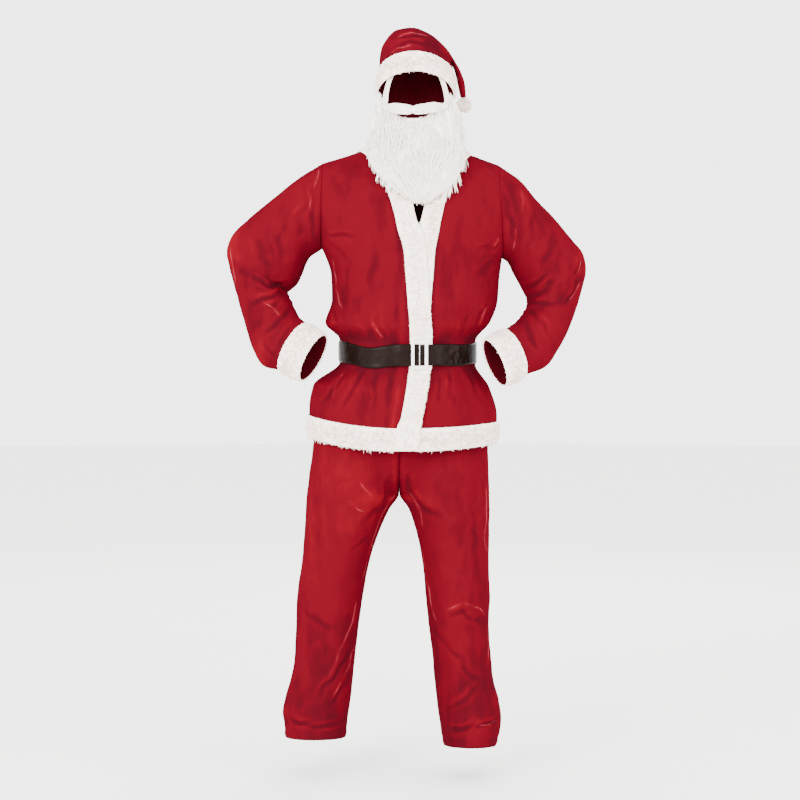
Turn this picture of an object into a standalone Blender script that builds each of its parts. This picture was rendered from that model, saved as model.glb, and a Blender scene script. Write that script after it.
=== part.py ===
"""Santa suit in its worn, hands-on-hips pose with nobody inside: jacket, trousers, belt, hat and beard.

Metres, +Z up. The front faces -Y and +X is the wearer's left. The origin is the middle of the neck, at
the height where the jacket lies on the shoulders; the floor under the wearer would be at Z = -1.518.
Every cloth piece is a thin wall between two grids of points. The grids come from smooth surfaces that
are read from the short tables below, so neighbouring pieces share one surface and never cross.
"""

import math
from collections import namedtuple

import bmesh
import bpy
import numpy as np

# Cloth and trim sizes
WALL = 0.0020  # velour wall
GAP = 0.0003  # between neighbouring pieces
PILE = 0.0080  # height of the white plush, backing and pile together
PRESSED_PILE = 0.0035  # plush under the belt or under the other front
EDGE_PILE = 0.0035  # plush where it rounds off at its long edges
BAND_SHARES = (0.0, 0.18, 0.5, 0.82, 1.0)  # where the points lie across a plush band

# Torso stations: a row of the jacket body is named by its station, counted up from the hem
HEM, BELT_LOW, BELT_HIGH, UNDERARM, SHOULDER = 0, 3, 4, 8, 12
SIDE_Y = 0.005
HEM_BAND_TOP = 0.8  # station of the hem band's upper edge, 54 mm above the hem
RING_STEPS = 9  # rows between underarm and shoulder, and half the points round a sleeve

# Belt and buckle
BELT_THICK = 0.0025
BELT_CLEAR = 0.0010
BUCKLE_WIDTH, BUCKLE_HEIGHT, BUCKLE_BAR, BUCKLE_THICK = 0.040, 0.068, 0.0065, 0.0035
CENTRE_BAR = 0.003

# Trousers: "down" is the distance below the origin
CROTCH_DOWN, RISE_TOP_DOWN = 0.828, 0.66
WAIST_DOWN, WAISTBAND_WIDTH = 0.513, 0.036

# Neckline of the back, in stations and in shares of the half width
NECK_SHARE, NECK_DIP = 0.365, 0.55
NECK_BAND_SHARE, NECK_BAND_DIP = 0.600, 0.97
NECK_BAND_CLEAR = 0.0012

POMPOM_CENTRE, POMPOM_CORE, POMPOM_REACH = (0.1168, 0.0300, 0.1187), 0.0135, 0.0205


class Profile:
    """A table with named columns that is read along smooth curves at any value of its first column."""

    def __init__(self, columns, *rows):
        self.row = namedtuple("Row", columns)
        self.data = np.array(rows, float)
        step = np.diff(self.data[:, 0])[:, None]
        rise = np.diff(self.data, axis=0) / step
        self.slope = np.vstack([rise[:1], rise[:1] * 0 + rise[-1:]])
        if len(rise) > 1:
            before, after = rise[:-1], rise[1:]
            same_way = before * after > 0
            mean = 2 * before * after / np.where(same_way, before + after, 1)
            self.slope = np.vstack([rise[:1], np.where(same_way, mean, 0), rise[-1:]])

    def at(self, key):
        """The row at this key, each column a number or an array like the key."""
        keys = self.data[:, 0]
        key = np.clip(np.asarray(key, float), keys[0], keys[-1])
        i = np.clip(np.searchsorted(keys, key, side="right") - 1, 0, len(keys) - 2)
        step = keys[i + 1] - keys[i]
        t = (key - keys[i]) / step
        low, high = self.data[i], self.data[i + 1]
        t, step = t[..., None], step[..., None]
        value = (
            low * (1 + 2 * t) * (1 - t) ** 2
            + high * t * t * (3 - 2 * t)
            + step * (self.slope[i] * t * (1 - t) ** 2 + self.slope[i + 1] * t * t * (t - 1))
        )
        return self.row(*np.moveaxis(value, -1, 0))


# Jacket body. z and x of the side seams, and the middle line of the front and of the back. Above the
# underarm the rows end on the armholes, so their side columns only repeat the underarm. edge_right and
# edge_left are the x of the front edges: the wearer's right front lies over the left one.
TORSO = Profile(
    "station z_right z_left z_front z_back x_right x_left mid_x y_front y_back arc lift edge_right edge_left",
    (0, -0.690, -0.704, -0.717, -0.700, -0.260, 0.194, -0.033, -0.158, 0.134, 90, 2.0, -0.003, -0.0495),
    (1, -0.625, -0.640, -0.650, -0.635, -0.261, 0.198, -0.031, -0.154, 0.130, 90, 2.0, 0.006, -0.0405),
    (2, -0.565, -0.570, -0.580, -0.565, -0.251, 0.179, -0.033, -0.143, 0.119, 90, 2.0, 0.019, -0.031),
    (3, -0.508, -0.512, -0.5165, -0.505, -0.186, 0.145, -0.0205, -0.1215, 0.0955, 90, 2.0, 0.028, -0.0225),
    (4, -0.455, -0.459, -0.4635, -0.452, -0.186, 0.145, -0.0205, -0.1215, 0.0955, 90, 2.0, 0.030, -0.018),
    (5, -0.412, -0.412, -0.415, -0.405, -0.221, 0.180, -0.018, -0.139, 0.112, 90, 2.0, 0.029, -0.019),
    (6, -0.355, -0.360, -0.355, -0.350, -0.205, 0.199, -0.003, -0.145, 0.118, 90, 2.0, 0.025, -0.0165),
    (7, -0.295, -0.305, -0.300, -0.295, -0.207, 0.203, -0.001, -0.144, 0.121, 90, 2.0, 0.021, -0.012),
    (8, -0.233, -0.256, -0.245, -0.240, -0.229, 0.210, 0.000, -0.142, 0.122, 90, 2.0, 0.0165, -0.008),
    (9, -0.233, -0.256, -0.178, -0.178, -0.229, 0.210, 0.000, -0.140, 0.122, 78, 1.8, 0.0045, 0.0045),
    (10, -0.233, -0.256, -0.112, -0.110, -0.229, 0.210, 0.000, -0.128, 0.112, 66, 1.5, -0.010, 0.021),
    (11, -0.233, -0.256, -0.040, -0.035, -0.229, 0.210, 0.000, -0.095, 0.080, 55, 1.2, -0.036, 0.044),
    (12, -0.233, -0.256, 0.045, 0.045, -0.229, 0.210, 0.000, 0.004, 0.004, 45, 1.0, -0.085, 0.085),
)
BAND_WIDTH = Profile("station width", (0, 0.048), (4, 0.050), (9, 0.051), (10, 0.054), (11, 0.060), (12, 0.050))

# Sleeves: each section is a loop about the line from its outer point to its inner point. turn is how
# far the arm comes forward there, in degrees. Station 0 is the armhole, 11 the cuff's seam, 12 the end.
SLEEVE_COLUMNS = "station outer_x outer_z inner_x inner_z mid_y half_depth turn"
SLEEVES = {
    "right": Profile(
        SLEEVE_COLUMNS,
        (0, -0.226, -0.025, -0.229, -0.233, 0.005, 0.085, 0),
        (1, -0.285, -0.061, -0.263, -0.256, 0.009, 0.083, -6),
        (2, -0.345, -0.108, -0.279, -0.294, 0.015, 0.080, -8),
        (3, -0.402, -0.153, -0.293, -0.320, 0.022, 0.077, -9),
        (4, -0.452, -0.203, -0.307, -0.333, 0.028, 0.075, -6),
        (5, -0.464, -0.240, -0.314, -0.338, 0.029, 0.074, 2),
        (6, -0.457, -0.276, -0.312, -0.347, 0.026, 0.073, 10),
        (7, -0.442, -0.329, -0.303, -0.366, 0.015, 0.071, 18),
        (8, -0.421, -0.402, -0.291, -0.388, -0.003, 0.068, 22),
        (9, -0.393, -0.482, -0.281, -0.401, -0.026, 0.064, 24),
        (10, -0.366, -0.519, -0.274, -0.407, -0.043, 0.058, 24),
        (11, -0.328, -0.5275, -0.266, -0.4165, -0.058, 0.052, 22),
        (12, -0.276, -0.5495, -0.220, -0.4435, -0.077, 0.048, 20),
    ),
    "left": Profile(
        SLEEVE_COLUMNS,
        (0, 0.199, -0.029, 0.210, -0.256, 0.005, 0.087, 0),
        (1, 0.253, -0.067, 0.224, -0.264, 0.009, 0.084, -6),
        (2, 0.292, -0.112, 0.238, -0.291, 0.015, 0.080, -8),
        (3, 0.335, -0.155, 0.253, -0.317, 0.022, 0.077, -9),
        (4, 0.380, -0.208, 0.265, -0.340, 0.028, 0.075, -6),
        (5, 0.410, -0.245, 0.272, -0.356, 0.029, 0.074, 2),
        (6, 0.417, -0.282, 0.271, -0.373, 0.026, 0.073, 10),
        (7, 0.399, -0.355, 0.263, -0.390, 0.015, 0.071, 18),
        (8, 0.371, -0.433, 0.251, -0.404, -0.003, 0.068, 22),
        (9, 0.342, -0.482, 0.238, -0.415, -0.026, 0.064, 24),
        (10, 0.313, -0.520, 0.226, -0.421, -0.043, 0.058, 24),
        (11, 0.2597, -0.540, 0.2133, -0.431, -0.058, 0.052, 22),
        (12, 0.2127, -0.562, 0.1673, -0.455, -0.077, 0.048, 20),
    ),
}

# Trouser legs: outer and inner line, front and back, at each distance below the origin. The front of
# the hem is lifted by what the shoe under it holds up.
LEG_COLUMNS = "down outer_x inner_x y_front y_back front_lift"
LEGS = {
    "right": Profile(
        LEG_COLUMNS,
        (0.5130, -0.1815, -0.0205, -0.1165, 0.0910, 0),
        (0.560, -0.205, -0.0300, -0.124, 0.102, 0),
        (0.620, -0.232, -0.0360, -0.130, 0.113, 0),
        (0.700, -0.249, -0.0390, -0.136, 0.121, 0),
        (0.760, -0.257, -0.0410, -0.137, 0.124, 0),
        (0.828, -0.266, -0.0410, -0.126, 0.120, 0),
        (0.868, -0.269, -0.065, -0.117, 0.114, 0),
        (0.930, -0.273, -0.093, -0.106, 0.105, 0),
        (1.000, -0.279, -0.115, -0.100, 0.100, 0),
        (1.082, -0.291, -0.130, -0.090, 0.088, 0),
        (1.166, -0.294, -0.142, -0.085, 0.086, 0),
        (1.247, -0.299, -0.151, -0.082, 0.090, 0),
        (1.331, -0.320, -0.160, -0.084, 0.096, 0),
        (1.365, -0.327, -0.165, -0.088, 0.100, 0.001),
        (1.395, -0.323, -0.169, -0.091, 0.103, 0.004),
        (1.430, -0.321, -0.172, -0.094, 0.104, 0.010),
    ),
    "left": Profile(
        LEG_COLUMNS,
        (0.5130, 0.1405, -0.0205, -0.1165, 0.0910, 0),
        (0.560, 0.156, -0.0300, -0.124, 0.102, 0),
        (0.620, 0.168, -0.0360, -0.130, 0.113, 0),
        (0.700, 0.175, -0.0390, -0.136, 0.121, 0),
        (0.760, 0.177, -0.0410, -0.138, 0.123, 0),
        (0.828, 0.179, -0.0410, -0.128, 0.117, 0),
        (0.868, 0.180, -0.017, -0.120, 0.110, 0),
        (0.930, 0.179, 0.003, -0.113, 0.100, 0),
        (1.011, 0.178, 0.018, -0.110, 0.092, 0),
        (1.077, 0.181, 0.024, -0.107, 0.082, 0),
        (1.149, 0.178, 0.031, -0.107, 0.076, 0),
        (1.220, 0.183, 0.040, -0.109, 0.074, 0),
        (1.290, 0.190, 0.046, -0.113, 0.073, 0),
        (1.336, 0.203, 0.051, -0.118, 0.072, 0),
        (1.386, 0.209, 0.058, -0.125, 0.070, 0.005),
        (1.450, 0.198, 0.068, -0.131, 0.067, 0.018),
    ),
}

# Hat crown, from its lower edge over the head to the tip of the tail on the wearer's left.
HAT = Profile(
    SLEEVE_COLUMNS,
    (0, -0.093, 0.140, 0.0910, 0.135, -0.005, 0.1124, -25.7),
    (1, -0.090, 0.190, 0.0890, 0.180, -0.005, 0.112, -25),
    (2, -0.087, 0.239, 0.0890, 0.192, -0.003, 0.1058, -17.5),
    (3, -0.073, 0.271, 0.0880, 0.2005, 0.000, 0.0984, -9.5),
    (4, -0.047, 0.296, 0.0870, 0.206, 0.004, 0.090, -4),
    (5, -0.009, 0.303, 0.0870, 0.211, 0.008, 0.079, 0),
    (6, 0.034, 0.287, 0.0885, 0.2145, 0.013, 0.066, 0),
    (7, 0.071, 0.256, 0.0915, 0.211, 0.018, 0.050, 0),
    (8, 0.0965, 0.2215, 0.0950, 0.1985, 0.023, 0.036, 0),
    (9, 0.1110, 0.196, 0.0990, 0.182, 0.027, 0.026, 0),
    (10, 0.1200, 0.168, 0.1030, 0.163, 0.029, 0.017, 0),
    (11, 0.1225, 0.1385, 0.1090, 0.1375, 0.030, 0.009, 0),
)
HAT_TIP = 11

# Beard: its back, row by row from the lip to the lowest locks, and its depth of hair there.
BEARD = Profile(
    "share z_mid z_edge half_width mid_x y_mid y_edge depth",
    (0.00, 0.0725, 0.124, 0.092, -0.002, -0.108, -0.032, 0.012),
    (0.14, 0.057, 0.088, 0.100, 0.000, -0.112, -0.037, 0.020),
    (0.28, 0.032, 0.045, 0.106, 0.000, -0.113, -0.047, 0.026),
    (0.44, 0.000, 0.005, 0.108, 0.000, -0.117, -0.068, 0.028),
    (0.60, -0.035, -0.033, 0.100, 0.002, -0.124, -0.099, 0.027),
    (0.76, -0.070, -0.066, 0.084, 0.005, -0.1315, -0.120, 0.023),
    (0.90, -0.100, -0.092, 0.062, 0.009, -0.1373, -0.132, 0.016),
    (1.00, -0.120, -0.108, 0.040, 0.010, -0.1388, -0.1363, 0.009),
)
MOUSTACHE = Profile(
    "share x y z half_height half_depth",
    (0.00, -0.079, -0.0930, 0.101, 0.0050, 0.0030),
    (0.20, -0.048, -0.1190, 0.095, 0.0120, 0.0062),
    (0.50, -0.006, -0.1325, 0.091, 0.0110, 0.0068),
    (0.80, 0.038, -0.1225, 0.097, 0.0120, 0.0062),
    (1.00, 0.074, -0.0925, 0.103, 0.0050, 0.0030),
)
WHISKERS = {
    "right": Profile(
        "share x y z half_width tilt",
        (0.00, 0.0570, -0.0648, 0.1798, 0.0070, 0),
        (0.35, 0.0632, -0.0723, 0.1598, 0.0080, 0),
        (0.70, 0.0702, -0.0780, 0.1290, 0.0090, 0.003),
        (1.00, 0.0740, -0.0790, 0.1057, 0.0090, 0.008),
    ),
    "left": Profile(
        "share x y z half_width tilt",
        (0.00, 0.0548, -0.0633, 0.1798, 0.0070, 0),
        (0.35, 0.0613, -0.0708, 0.1598, 0.0080, 0),
        (0.70, 0.0696, -0.0775, 0.1290, 0.0090, 0.003),
        (1.00, 0.0740, -0.0790, 0.1081, 0.0090, 0.008),
    ),
}
WHISKER_THICK = 0.006

# The largest folds. Each is a ridge, or with a negative height a trough, along the line from start to
# end, and it fades over its width to both sides.
Fold = namedtuple("Fold", "start end width height")
JACKET_FOLDS = (
    Fold((-0.215, -0.05, -0.235), (-0.120, -0.12, -0.215), 0.020, 0.007),
    Fold((0.200, -0.05, -0.260), (0.130, -0.11, -0.225), 0.020, 0.006),
    Fold((-0.150, -0.11, -0.415), (-0.170, -0.10, -0.330), 0.022, 0.007),
    Fold((-0.080, -0.14, -0.415), (-0.090, -0.14, -0.350), 0.020, 0.005),
    Fold((0.090, -0.12, -0.415), (0.105, -0.13, -0.330), 0.022, 0.005),
    Fold((0.145, -0.08, -0.415), (0.165, -0.09, -0.340), 0.022, 0.006),
    Fold((-0.150, -0.08, -0.545), (-0.205, -0.10, -0.640), 0.022, 0.007),
    Fold((-0.105, -0.12, -0.545), (-0.135, -0.14, -0.640), 0.020, -0.006),
    Fold((-0.070, -0.13, -0.545), (-0.085, -0.15, -0.640), 0.018, 0.006),
    Fold((0.075, -0.12, -0.545), (0.085, -0.14, -0.640), 0.020, 0.006),
    Fold((0.115, -0.09, -0.545), (0.150, -0.10, -0.640), 0.022, -0.006),
    Fold((-0.140, 0.08, -0.415), (-0.155, 0.10, -0.320), 0.024, 0.008),
    Fold((-0.070, 0.10, -0.415), (-0.080, 0.12, -0.310), 0.022, 0.008),
    Fold((0.010, 0.10, -0.415), (0.010, 0.12, -0.330), 0.022, 0.007),
    Fold((0.085, 0.09, -0.415), (0.100, 0.11, -0.310), 0.024, 0.008),
    Fold((-0.120, 0.09, -0.545), (-0.160, 0.11, -0.640), 0.022, 0.007),
    Fold((-0.030, 0.10, -0.545), (-0.040, 0.13, -0.640), 0.022, 0.006),
    Fold((0.060, 0.09, -0.545), (0.080, 0.12, -0.640), 0.022, 0.007),
)
SLEEVE_FOLDS = {
    "right": (
        Fold((-0.240, -0.06, -0.080), (-0.262, -0.07, -0.190), 0.018, -0.008),
        Fold((-0.300, -0.06, -0.150), (-0.290, -0.05, -0.250), 0.022, 0.007),
        Fold((-0.320, -0.03, -0.330), (-0.420, -0.03, -0.285), 0.016, -0.009),
        Fold((-0.315, -0.05, -0.365), (-0.410, -0.05, -0.340), 0.016, 0.008),
        Fold((-0.312, -0.06, -0.390), (-0.390, -0.06, -0.420), 0.017, -0.007),
        Fold((-0.340, -0.08, -0.440), (-0.380, -0.07, -0.480), 0.020, 0.006),
        Fold((-0.320, 0.09, -0.330), (-0.420, 0.10, -0.290), 0.018, -0.008),
        Fold((-0.320, 0.08, -0.370), (-0.400, 0.08, -0.370), 0.018, 0.007),
    ),
    "left": (
        Fold((0.225, -0.06, -0.080), (0.245, -0.07, -0.200), 0.018, -0.008),
        Fold((0.262, -0.06, -0.100), (0.272, -0.06, -0.230), 0.020, 0.007),
        Fold((0.275, -0.04, -0.345), (0.360, -0.04, -0.300), 0.018, 0.008),
        Fold((0.280, -0.05, -0.375), (0.385, -0.05, -0.350), 0.018, -0.009),
        Fold((0.275, -0.06, -0.400), (0.350, -0.06, -0.420), 0.018, 0.007),
        Fold((0.290, -0.08, -0.460), (0.330, -0.07, -0.480), 0.020, -0.006),
        Fold((0.285, 0.09, -0.345), (0.380, 0.10, -0.300), 0.018, -0.008),
        Fold((0.280, 0.08, -0.385), (0.360, 0.08, -0.385), 0.018, 0.007),
    ),
}
TROUSER_FOLDS = (
    Fold((-0.060, -0.12, -0.800), (-0.150, -0.12, -0.900), 0.024, 0.008),
    Fold((-0.070, -0.10, -0.850), (-0.130, -0.11, -0.960), 0.020, -0.006),
    Fold((-0.020, -0.12, -0.800), (0.080, -0.12, -0.880), 0.024, 0.007),
    Fold((-0.150, -0.08, -1.120), (-0.270, -0.05, -1.060), 0.026, 0.006),
    Fold((-0.170, -0.08, -1.200), (-0.240, -0.08, -1.330), 0.022, 0.007),
    Fold((-0.190, -0.08, -1.370), (-0.310, -0.03, -1.385), 0.014, -0.007),
    Fold((0.050, -0.10, -1.100), (0.160, -0.09, -1.040), 0.026, 0.006),
    Fold((0.070, -0.11, -1.180), (0.170, -0.08, -1.120), 0.024, -0.005),
    Fold((0.080, -0.11, -1.390), (0.190, -0.08, -1.385), 0.015, -0.008),
    Fold((0.070, -0.11, -1.340), (0.150, -0.12, -1.290), 0.020, 0.006),
    Fold((-0.060, 0.11, -0.810), (-0.180, 0.11, -0.880), 0.026, 0.009),
    Fold((-0.020, 0.11, -0.810), (0.100, 0.10, -0.880), 0.026, 0.009),
    Fold((-0.170, 0.08, -1.090), (-0.260, 0.08, -1.120), 0.024, -0.007),
    Fold((0.060, 0.07, -1.090), (0.150, 0.07, -1.120), 0.024, -0.007),
    Fold((-0.200, 0.10, -1.370), (-0.300, 0.09, -1.360), 0.018, 0.007),
    Fold((0.090, 0.07, -1.380), (0.180, 0.06, -1.370), 0.018, 0.007),
)
HAT_FOLDS = (
    Fold((-0.060, -0.07, 0.250), (0.040, -0.08, 0.262), 0.014, 0.006),
    Fold((-0.050, -0.05, 0.280), (0.060, -0.06, 0.250), 0.012, -0.006),
    Fold((0.020, 0.08, 0.250), (0.085, 0.06, 0.225), 0.016, 0.006),
)

# Rows and columns of the cloth grids
LOWER_ROWS = [0, 0.14, 0.4, 0.66, HEM_BAND_TOP, 1.2, 1.7, 2.2, 2.6, 2.96, 3.5, 4.04, 4.4, 5.0, 5.6, 6.2, 7.1]
UPPER_ROWS = [UNDERARM + k * (SHOULDER - UNDERARM) / RING_STEPS for k in range(RING_STEPS + 1)]
BODY_ROWS = np.array(LOWER_ROWS + UPPER_ROWS)
SIDE_SHARES = (0.09, 0.24, 0.42, 0.61, 0.81, 1.0)  # columns of a front between its band and the side
BACK_SHARES = np.array([-1, -0.87, -0.73, -0.58, -0.47, NECK_SHARE * -1, -0.27, -0.14, 0])
BACK_COLUMNS = np.concatenate([BACK_SHARES, -BACK_SHARES[-2::-1]])
SLEEVE_ROWS = np.array([0, 0.4, 0.9, 1.5, 2.1, 2.7, 3.3, 3.9, 4.5, 5.1, 5.7, 6.4, 7.2, 8.1, 9.0, 10.0, 11.0])
CUFF_ROWS = np.array([11.0, 11.16, 11.5, 11.84, 12.0])
LEG_DOWNS = {
    side: np.concatenate(
        [
            [WAIST_DOWN, 0.560, 0.620, 0.690, 0.740, 0.778, 0.805, 0.821, 0.8285],
            np.linspace(0.852, hem - 0.018, 13),
            [hem],
        ]
    )
    for side, hem in (("right", 1.430), ("left", 1.450))
}
LEG_COLUMNS_ROUND = 18
HAT_ROWS = np.array([0, 0.15, 0.5, 0.85, 1.0, 2, 3, 4, 5, 6, 7, 8, 9, 10, HAT_TIP])
HAT_COLUMNS_ROUND = 18
BELT_COLUMNS, WAISTBAND_COLUMNS = 64, 40


def points(x, y, z):
    """One array of points from its coordinates."""
    return np.stack(np.broadcast_arrays(x, y, z), axis=-1).astype(float)


def unit(vectors):
    """The vectors at length 1."""
    return vectors / np.maximum(np.linalg.norm(vectors, axis=-1, keepdims=True), 1e-12)


def ramp(value, start, end):
    """0 before start, 1 after end, and smooth between them."""
    t = np.clip((np.asarray(value, float) - start) / (end - start), 0, 1)
    return t * t * (3 - 2 * t)


def tube(table, station, angle, hand):
    """Loops about a bent line, as a sleeve or the hat has. Angle 0 is the outer side and 90 the front."""
    row = table.at(station)
    angle = np.radians(angle)
    half_x, half_z = (row.outer_x - row.inner_x) / 2, (row.outer_z - row.inner_z) / 2
    long = np.hypot(half_x, half_z)
    along_x, along_z = hand * half_z / long, -hand * half_x / long
    turn = np.radians(row.turn)
    deep = points(-np.sin(turn) * along_x, -np.cos(turn), -np.sin(turn) * along_z)
    middle = points((row.outer_x + row.inner_x) / 2, row.mid_y, (row.outer_z + row.inner_z) / 2)
    return (
        middle
        + points(half_x, 0, half_z) * np.cos(angle)[..., None]
        + deep * (row.half_depth * np.sin(angle))[..., None]
    )


HANDS = {"right": -1, "left": 1}


def armhole(side, angle):
    """The ring where a sleeve is sewn in: 0 at the shoulder, 180 at the underarm, positive over the front."""
    return tube(SLEEVES[side], np.zeros(np.shape(angle)), angle, HANDS[side])


def armhole_lean(side, angle):
    """The direction that body and sleeve share at the armhole: square to both where they meet."""
    turned = np.radians(angle)
    table = SLEEVES[side].at(0)
    half_height = (table.outer_z - table.inner_z) / 2
    high, deep = np.cos(turned) / half_height, np.sin(turned) / table.half_depth
    size = np.hypot(high, deep)
    outward = 0.35 + np.where(np.cos(turned) > 0, 0.15, 0.65) * np.cos(turned) ** 2
    return unit(points(HANDS[side] * outward, -deep / size, high / size))


def torso(station, across, front):
    """The jacket body. across runs from -1 at the wearer's right side to 1; front is True or False."""
    station, across = np.broadcast_arrays(np.asarray(station, float), np.asarray(across, float))
    row = TORSO.at(station)
    low = TORSO.at(np.minimum(station, UNDERARM))
    ring = 180 * (SHOULDER - station) / (SHOULDER - UNDERARM) * (1 if front else -1)
    seam = np.where(
        (across < 0)[..., None],
        points(low.x_right, SIDE_Y, low.z_right),
        points(low.x_left, SIDE_Y, low.z_left),
    )
    on_ring = np.where((across < 0)[..., None], armhole("right", ring), armhole("left", ring))
    end = np.where((station > UNDERARM)[..., None], on_ring, seam)
    arc = np.radians(row.arc)
    turned = np.abs(across) * arc
    sideways = np.sin(turned) / np.sin(arc)
    backward = (1 - np.cos(turned)) / (1 - np.cos(arc))
    y_mid, z_mid = (row.y_front, row.z_front) if front else (row.y_back, row.z_back)
    return points(
        row.mid_x + (end[..., 0] - row.mid_x) * sideways,
        y_mid + (end[..., 1] - y_mid) * backward,
        z_mid + (end[..., 2] - z_mid) * np.abs(sideways) ** row.lift,
    )


def normals(surface, u, v, low, high, step=2e-3):
    """Unit normals of surface(u, v), with u kept between low and high."""
    u, v = np.broadcast_arrays(np.asarray(u, float), np.asarray(v, float))
    along_u = surface(np.minimum(u + step, high), v) - surface(np.maximum(u - step, low), v)
    along_v = surface(u, v + step) - surface(u, v - step)
    return unit(np.cross(along_v, along_u))


def torso_normal(station, across, front):
    """Outward directions of the jacket body, turned to the shared ones at armholes and shoulders."""
    station, across = np.broadcast_arrays(np.asarray(station, float), np.asarray(across, float))
    found = normals(lambda s, a: torso(s, a, front), station, across, HEM, SHOULDER)
    found = found * (1 if front else -1)
    ring = 180 * (SHOULDER - station) / (SHOULDER - UNDERARM) * (1 if front else -1)
    ring = np.clip(ring, -180, 180)
    shared = np.where((across < 0)[..., None], armhole_lean("right", ring), armhole_lean("left", ring))
    near = ramp(np.abs(across), 0.9, 1.0) * ramp(station, UNDERARM - 0.3, UNDERARM)
    found = unit(found * (1 - near[..., None]) + shared * near[..., None])
    slope = np.where(across < 0, -0.33, 0.33)
    up = unit(points(slope, 0, 1))
    top = ramp(station, SHOULDER - 0.3, SHOULDER) * (1 - near)
    return unit(found * (1 - top[..., None]) + up * top[..., None])


def across_of(station, x):
    """The across value where a row of the body has this x."""
    row = TORSO.at(station)
    ring = 180 * (SHOULDER - np.asarray(station, float)) / (SHOULDER - UNDERARM)
    ring = np.clip(ring, 0, 180)
    on_ring = np.asarray(station) > UNDERARM
    right = np.where(on_ring, armhole("right", ring)[..., 0], row.x_right)
    left = np.where(on_ring, armhole("left", ring)[..., 0], row.x_left)
    away = x - row.mid_x
    share = np.abs(away) / np.abs(np.where(away < 0, right, left) - row.mid_x)
    arc = np.radians(row.arc)
    return np.sign(away) * np.arcsin(np.clip(share * np.sin(arc), 0, 1)) / arc


def fold_heights(at, folds):
    """How far the folds move each point out."""
    height = np.zeros(at.shape[:-1])
    for fold in folds:
        start, line = np.array(fold.start), np.array(fold.end) - np.array(fold.start)
        share = np.clip(((at - start) @ line) / (line @ line), 0, 1)
        away = np.linalg.norm(at - start - share[..., None] * line, axis=-1) / fold.width
        height += fold.height * np.exp(-away * away) * (1 - 0.35 * np.abs(2 * share - 1))
    return height


def still_at_trims(station):
    """1 where the body may fold, and 0 under the belt, at the hem band and at the armholes' height."""
    return ramp(np.abs(station - (BELT_LOW + BELT_HIGH) / 2), 0.72, 1.25) * ramp(station, 0.8, 1.3)


def front_x(side, station, share):
    """x of a front at this share of its band: 0 at the front edge, 1 at the band's seam."""
    row = TORSO.at(station)
    width = BAND_WIDTH.at(station).width
    if side == "right":
        return row.edge_right - share * width
    return row.edge_left + share * width


def overlap_lift(station, x):
    """How far the upper front stands off the body where it lies over the under front's band."""
    under = TORSO.at(station).edge_left
    return (PRESSED_PILE + GAP + 0.0009 + WALL) * ramp(x, under - 0.034, under - 0.012)


def front_grid(side):
    """Base points, normals and stations of one front, in columns from its front edge to the side."""
    rows = BODY_ROWS[:, None]
    bands = [across_of(BODY_ROWS, front_x(side, BODY_ROWS, share)) for share in BAND_SHARES]
    seam = bands[-1]
    rest = [seam + (HANDS[side] - seam) * share for share in SIDE_SHARES]
    across = np.stack(bands + rest, axis=1)
    base = torso(rows, across, True)
    normal = torso_normal(rows, across, True)
    lift = fold_heights(base, JACKET_FOLDS) * still_at_trims(rows)
    lift = lift * ramp(np.abs(across), 0, 0.3) * (1 - ramp(rows, UNDERARM, UNDERARM + 0.5) * (np.abs(across) > 0.99))
    if side == "right":
        lift = lift + overlap_lift(rows, base[..., 0])
    surface = base + normal * lift[..., None]
    surface[..., 1] -= GAP / 2
    return surface, normal


def back_grid():
    """Base points and normals of the back, from the wearer's right side to the left."""
    across = BACK_COLUMNS[None, :]
    inside = np.clip(np.abs(across) / NECK_SHARE, 0, 1)
    top = SHOULDER - NECK_DIP * np.sqrt(1 - inside**2)
    rows = np.where(
        BODY_ROWS[:, None] <= UNDERARM,
        BODY_ROWS[:, None],
        UNDERARM + (BODY_ROWS[:, None] - UNDERARM) * (top - UNDERARM) / (SHOULDER - UNDERARM),
    )
    across = np.broadcast_to(across, rows.shape)
    base = torso(rows, across, False)
    normal = torso_normal(rows, across, False)
    lift = fold_heights(base, JACKET_FOLDS) * still_at_trims(rows)
    surface = base + normal * lift[..., None]
    surface[..., 1] += GAP / 2
    return surface, normal


def sleeve_grid(side, stations, columns=2 * RING_STEPS):
    """Surface and normals of a sleeve between these stations."""
    rows, angles = stations[:, None], np.arange(columns)[None, :] * 360 / columns
    hand = HANDS[side]
    surface = tube(SLEEVES[side], rows, angles, hand)
    found = normals(lambda s, a: tube(SLEEVES[side], s, a * 100, hand), rows, angles / 100, 0, 12)
    found = found * hand
    signed = np.where(angles > 180, angles - 360, angles)
    shared = armhole_lean(side, np.broadcast_to(signed, found.shape[:-1]))
    near = (1 - ramp(rows, 0, 0.4))[..., None]
    found = unit(found * (1 - near) + shared * near)
    free = ramp(rows, 0.1, 0.6) * (1 - ramp(rows, 10.2, 10.9))
    lift = fold_heights(surface, SLEEVE_FOLDS[side]) * free
    surface = surface + found * lift[..., None]
    surface[..., 0] += 2 * GAP * hand
    return surface, found


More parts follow.
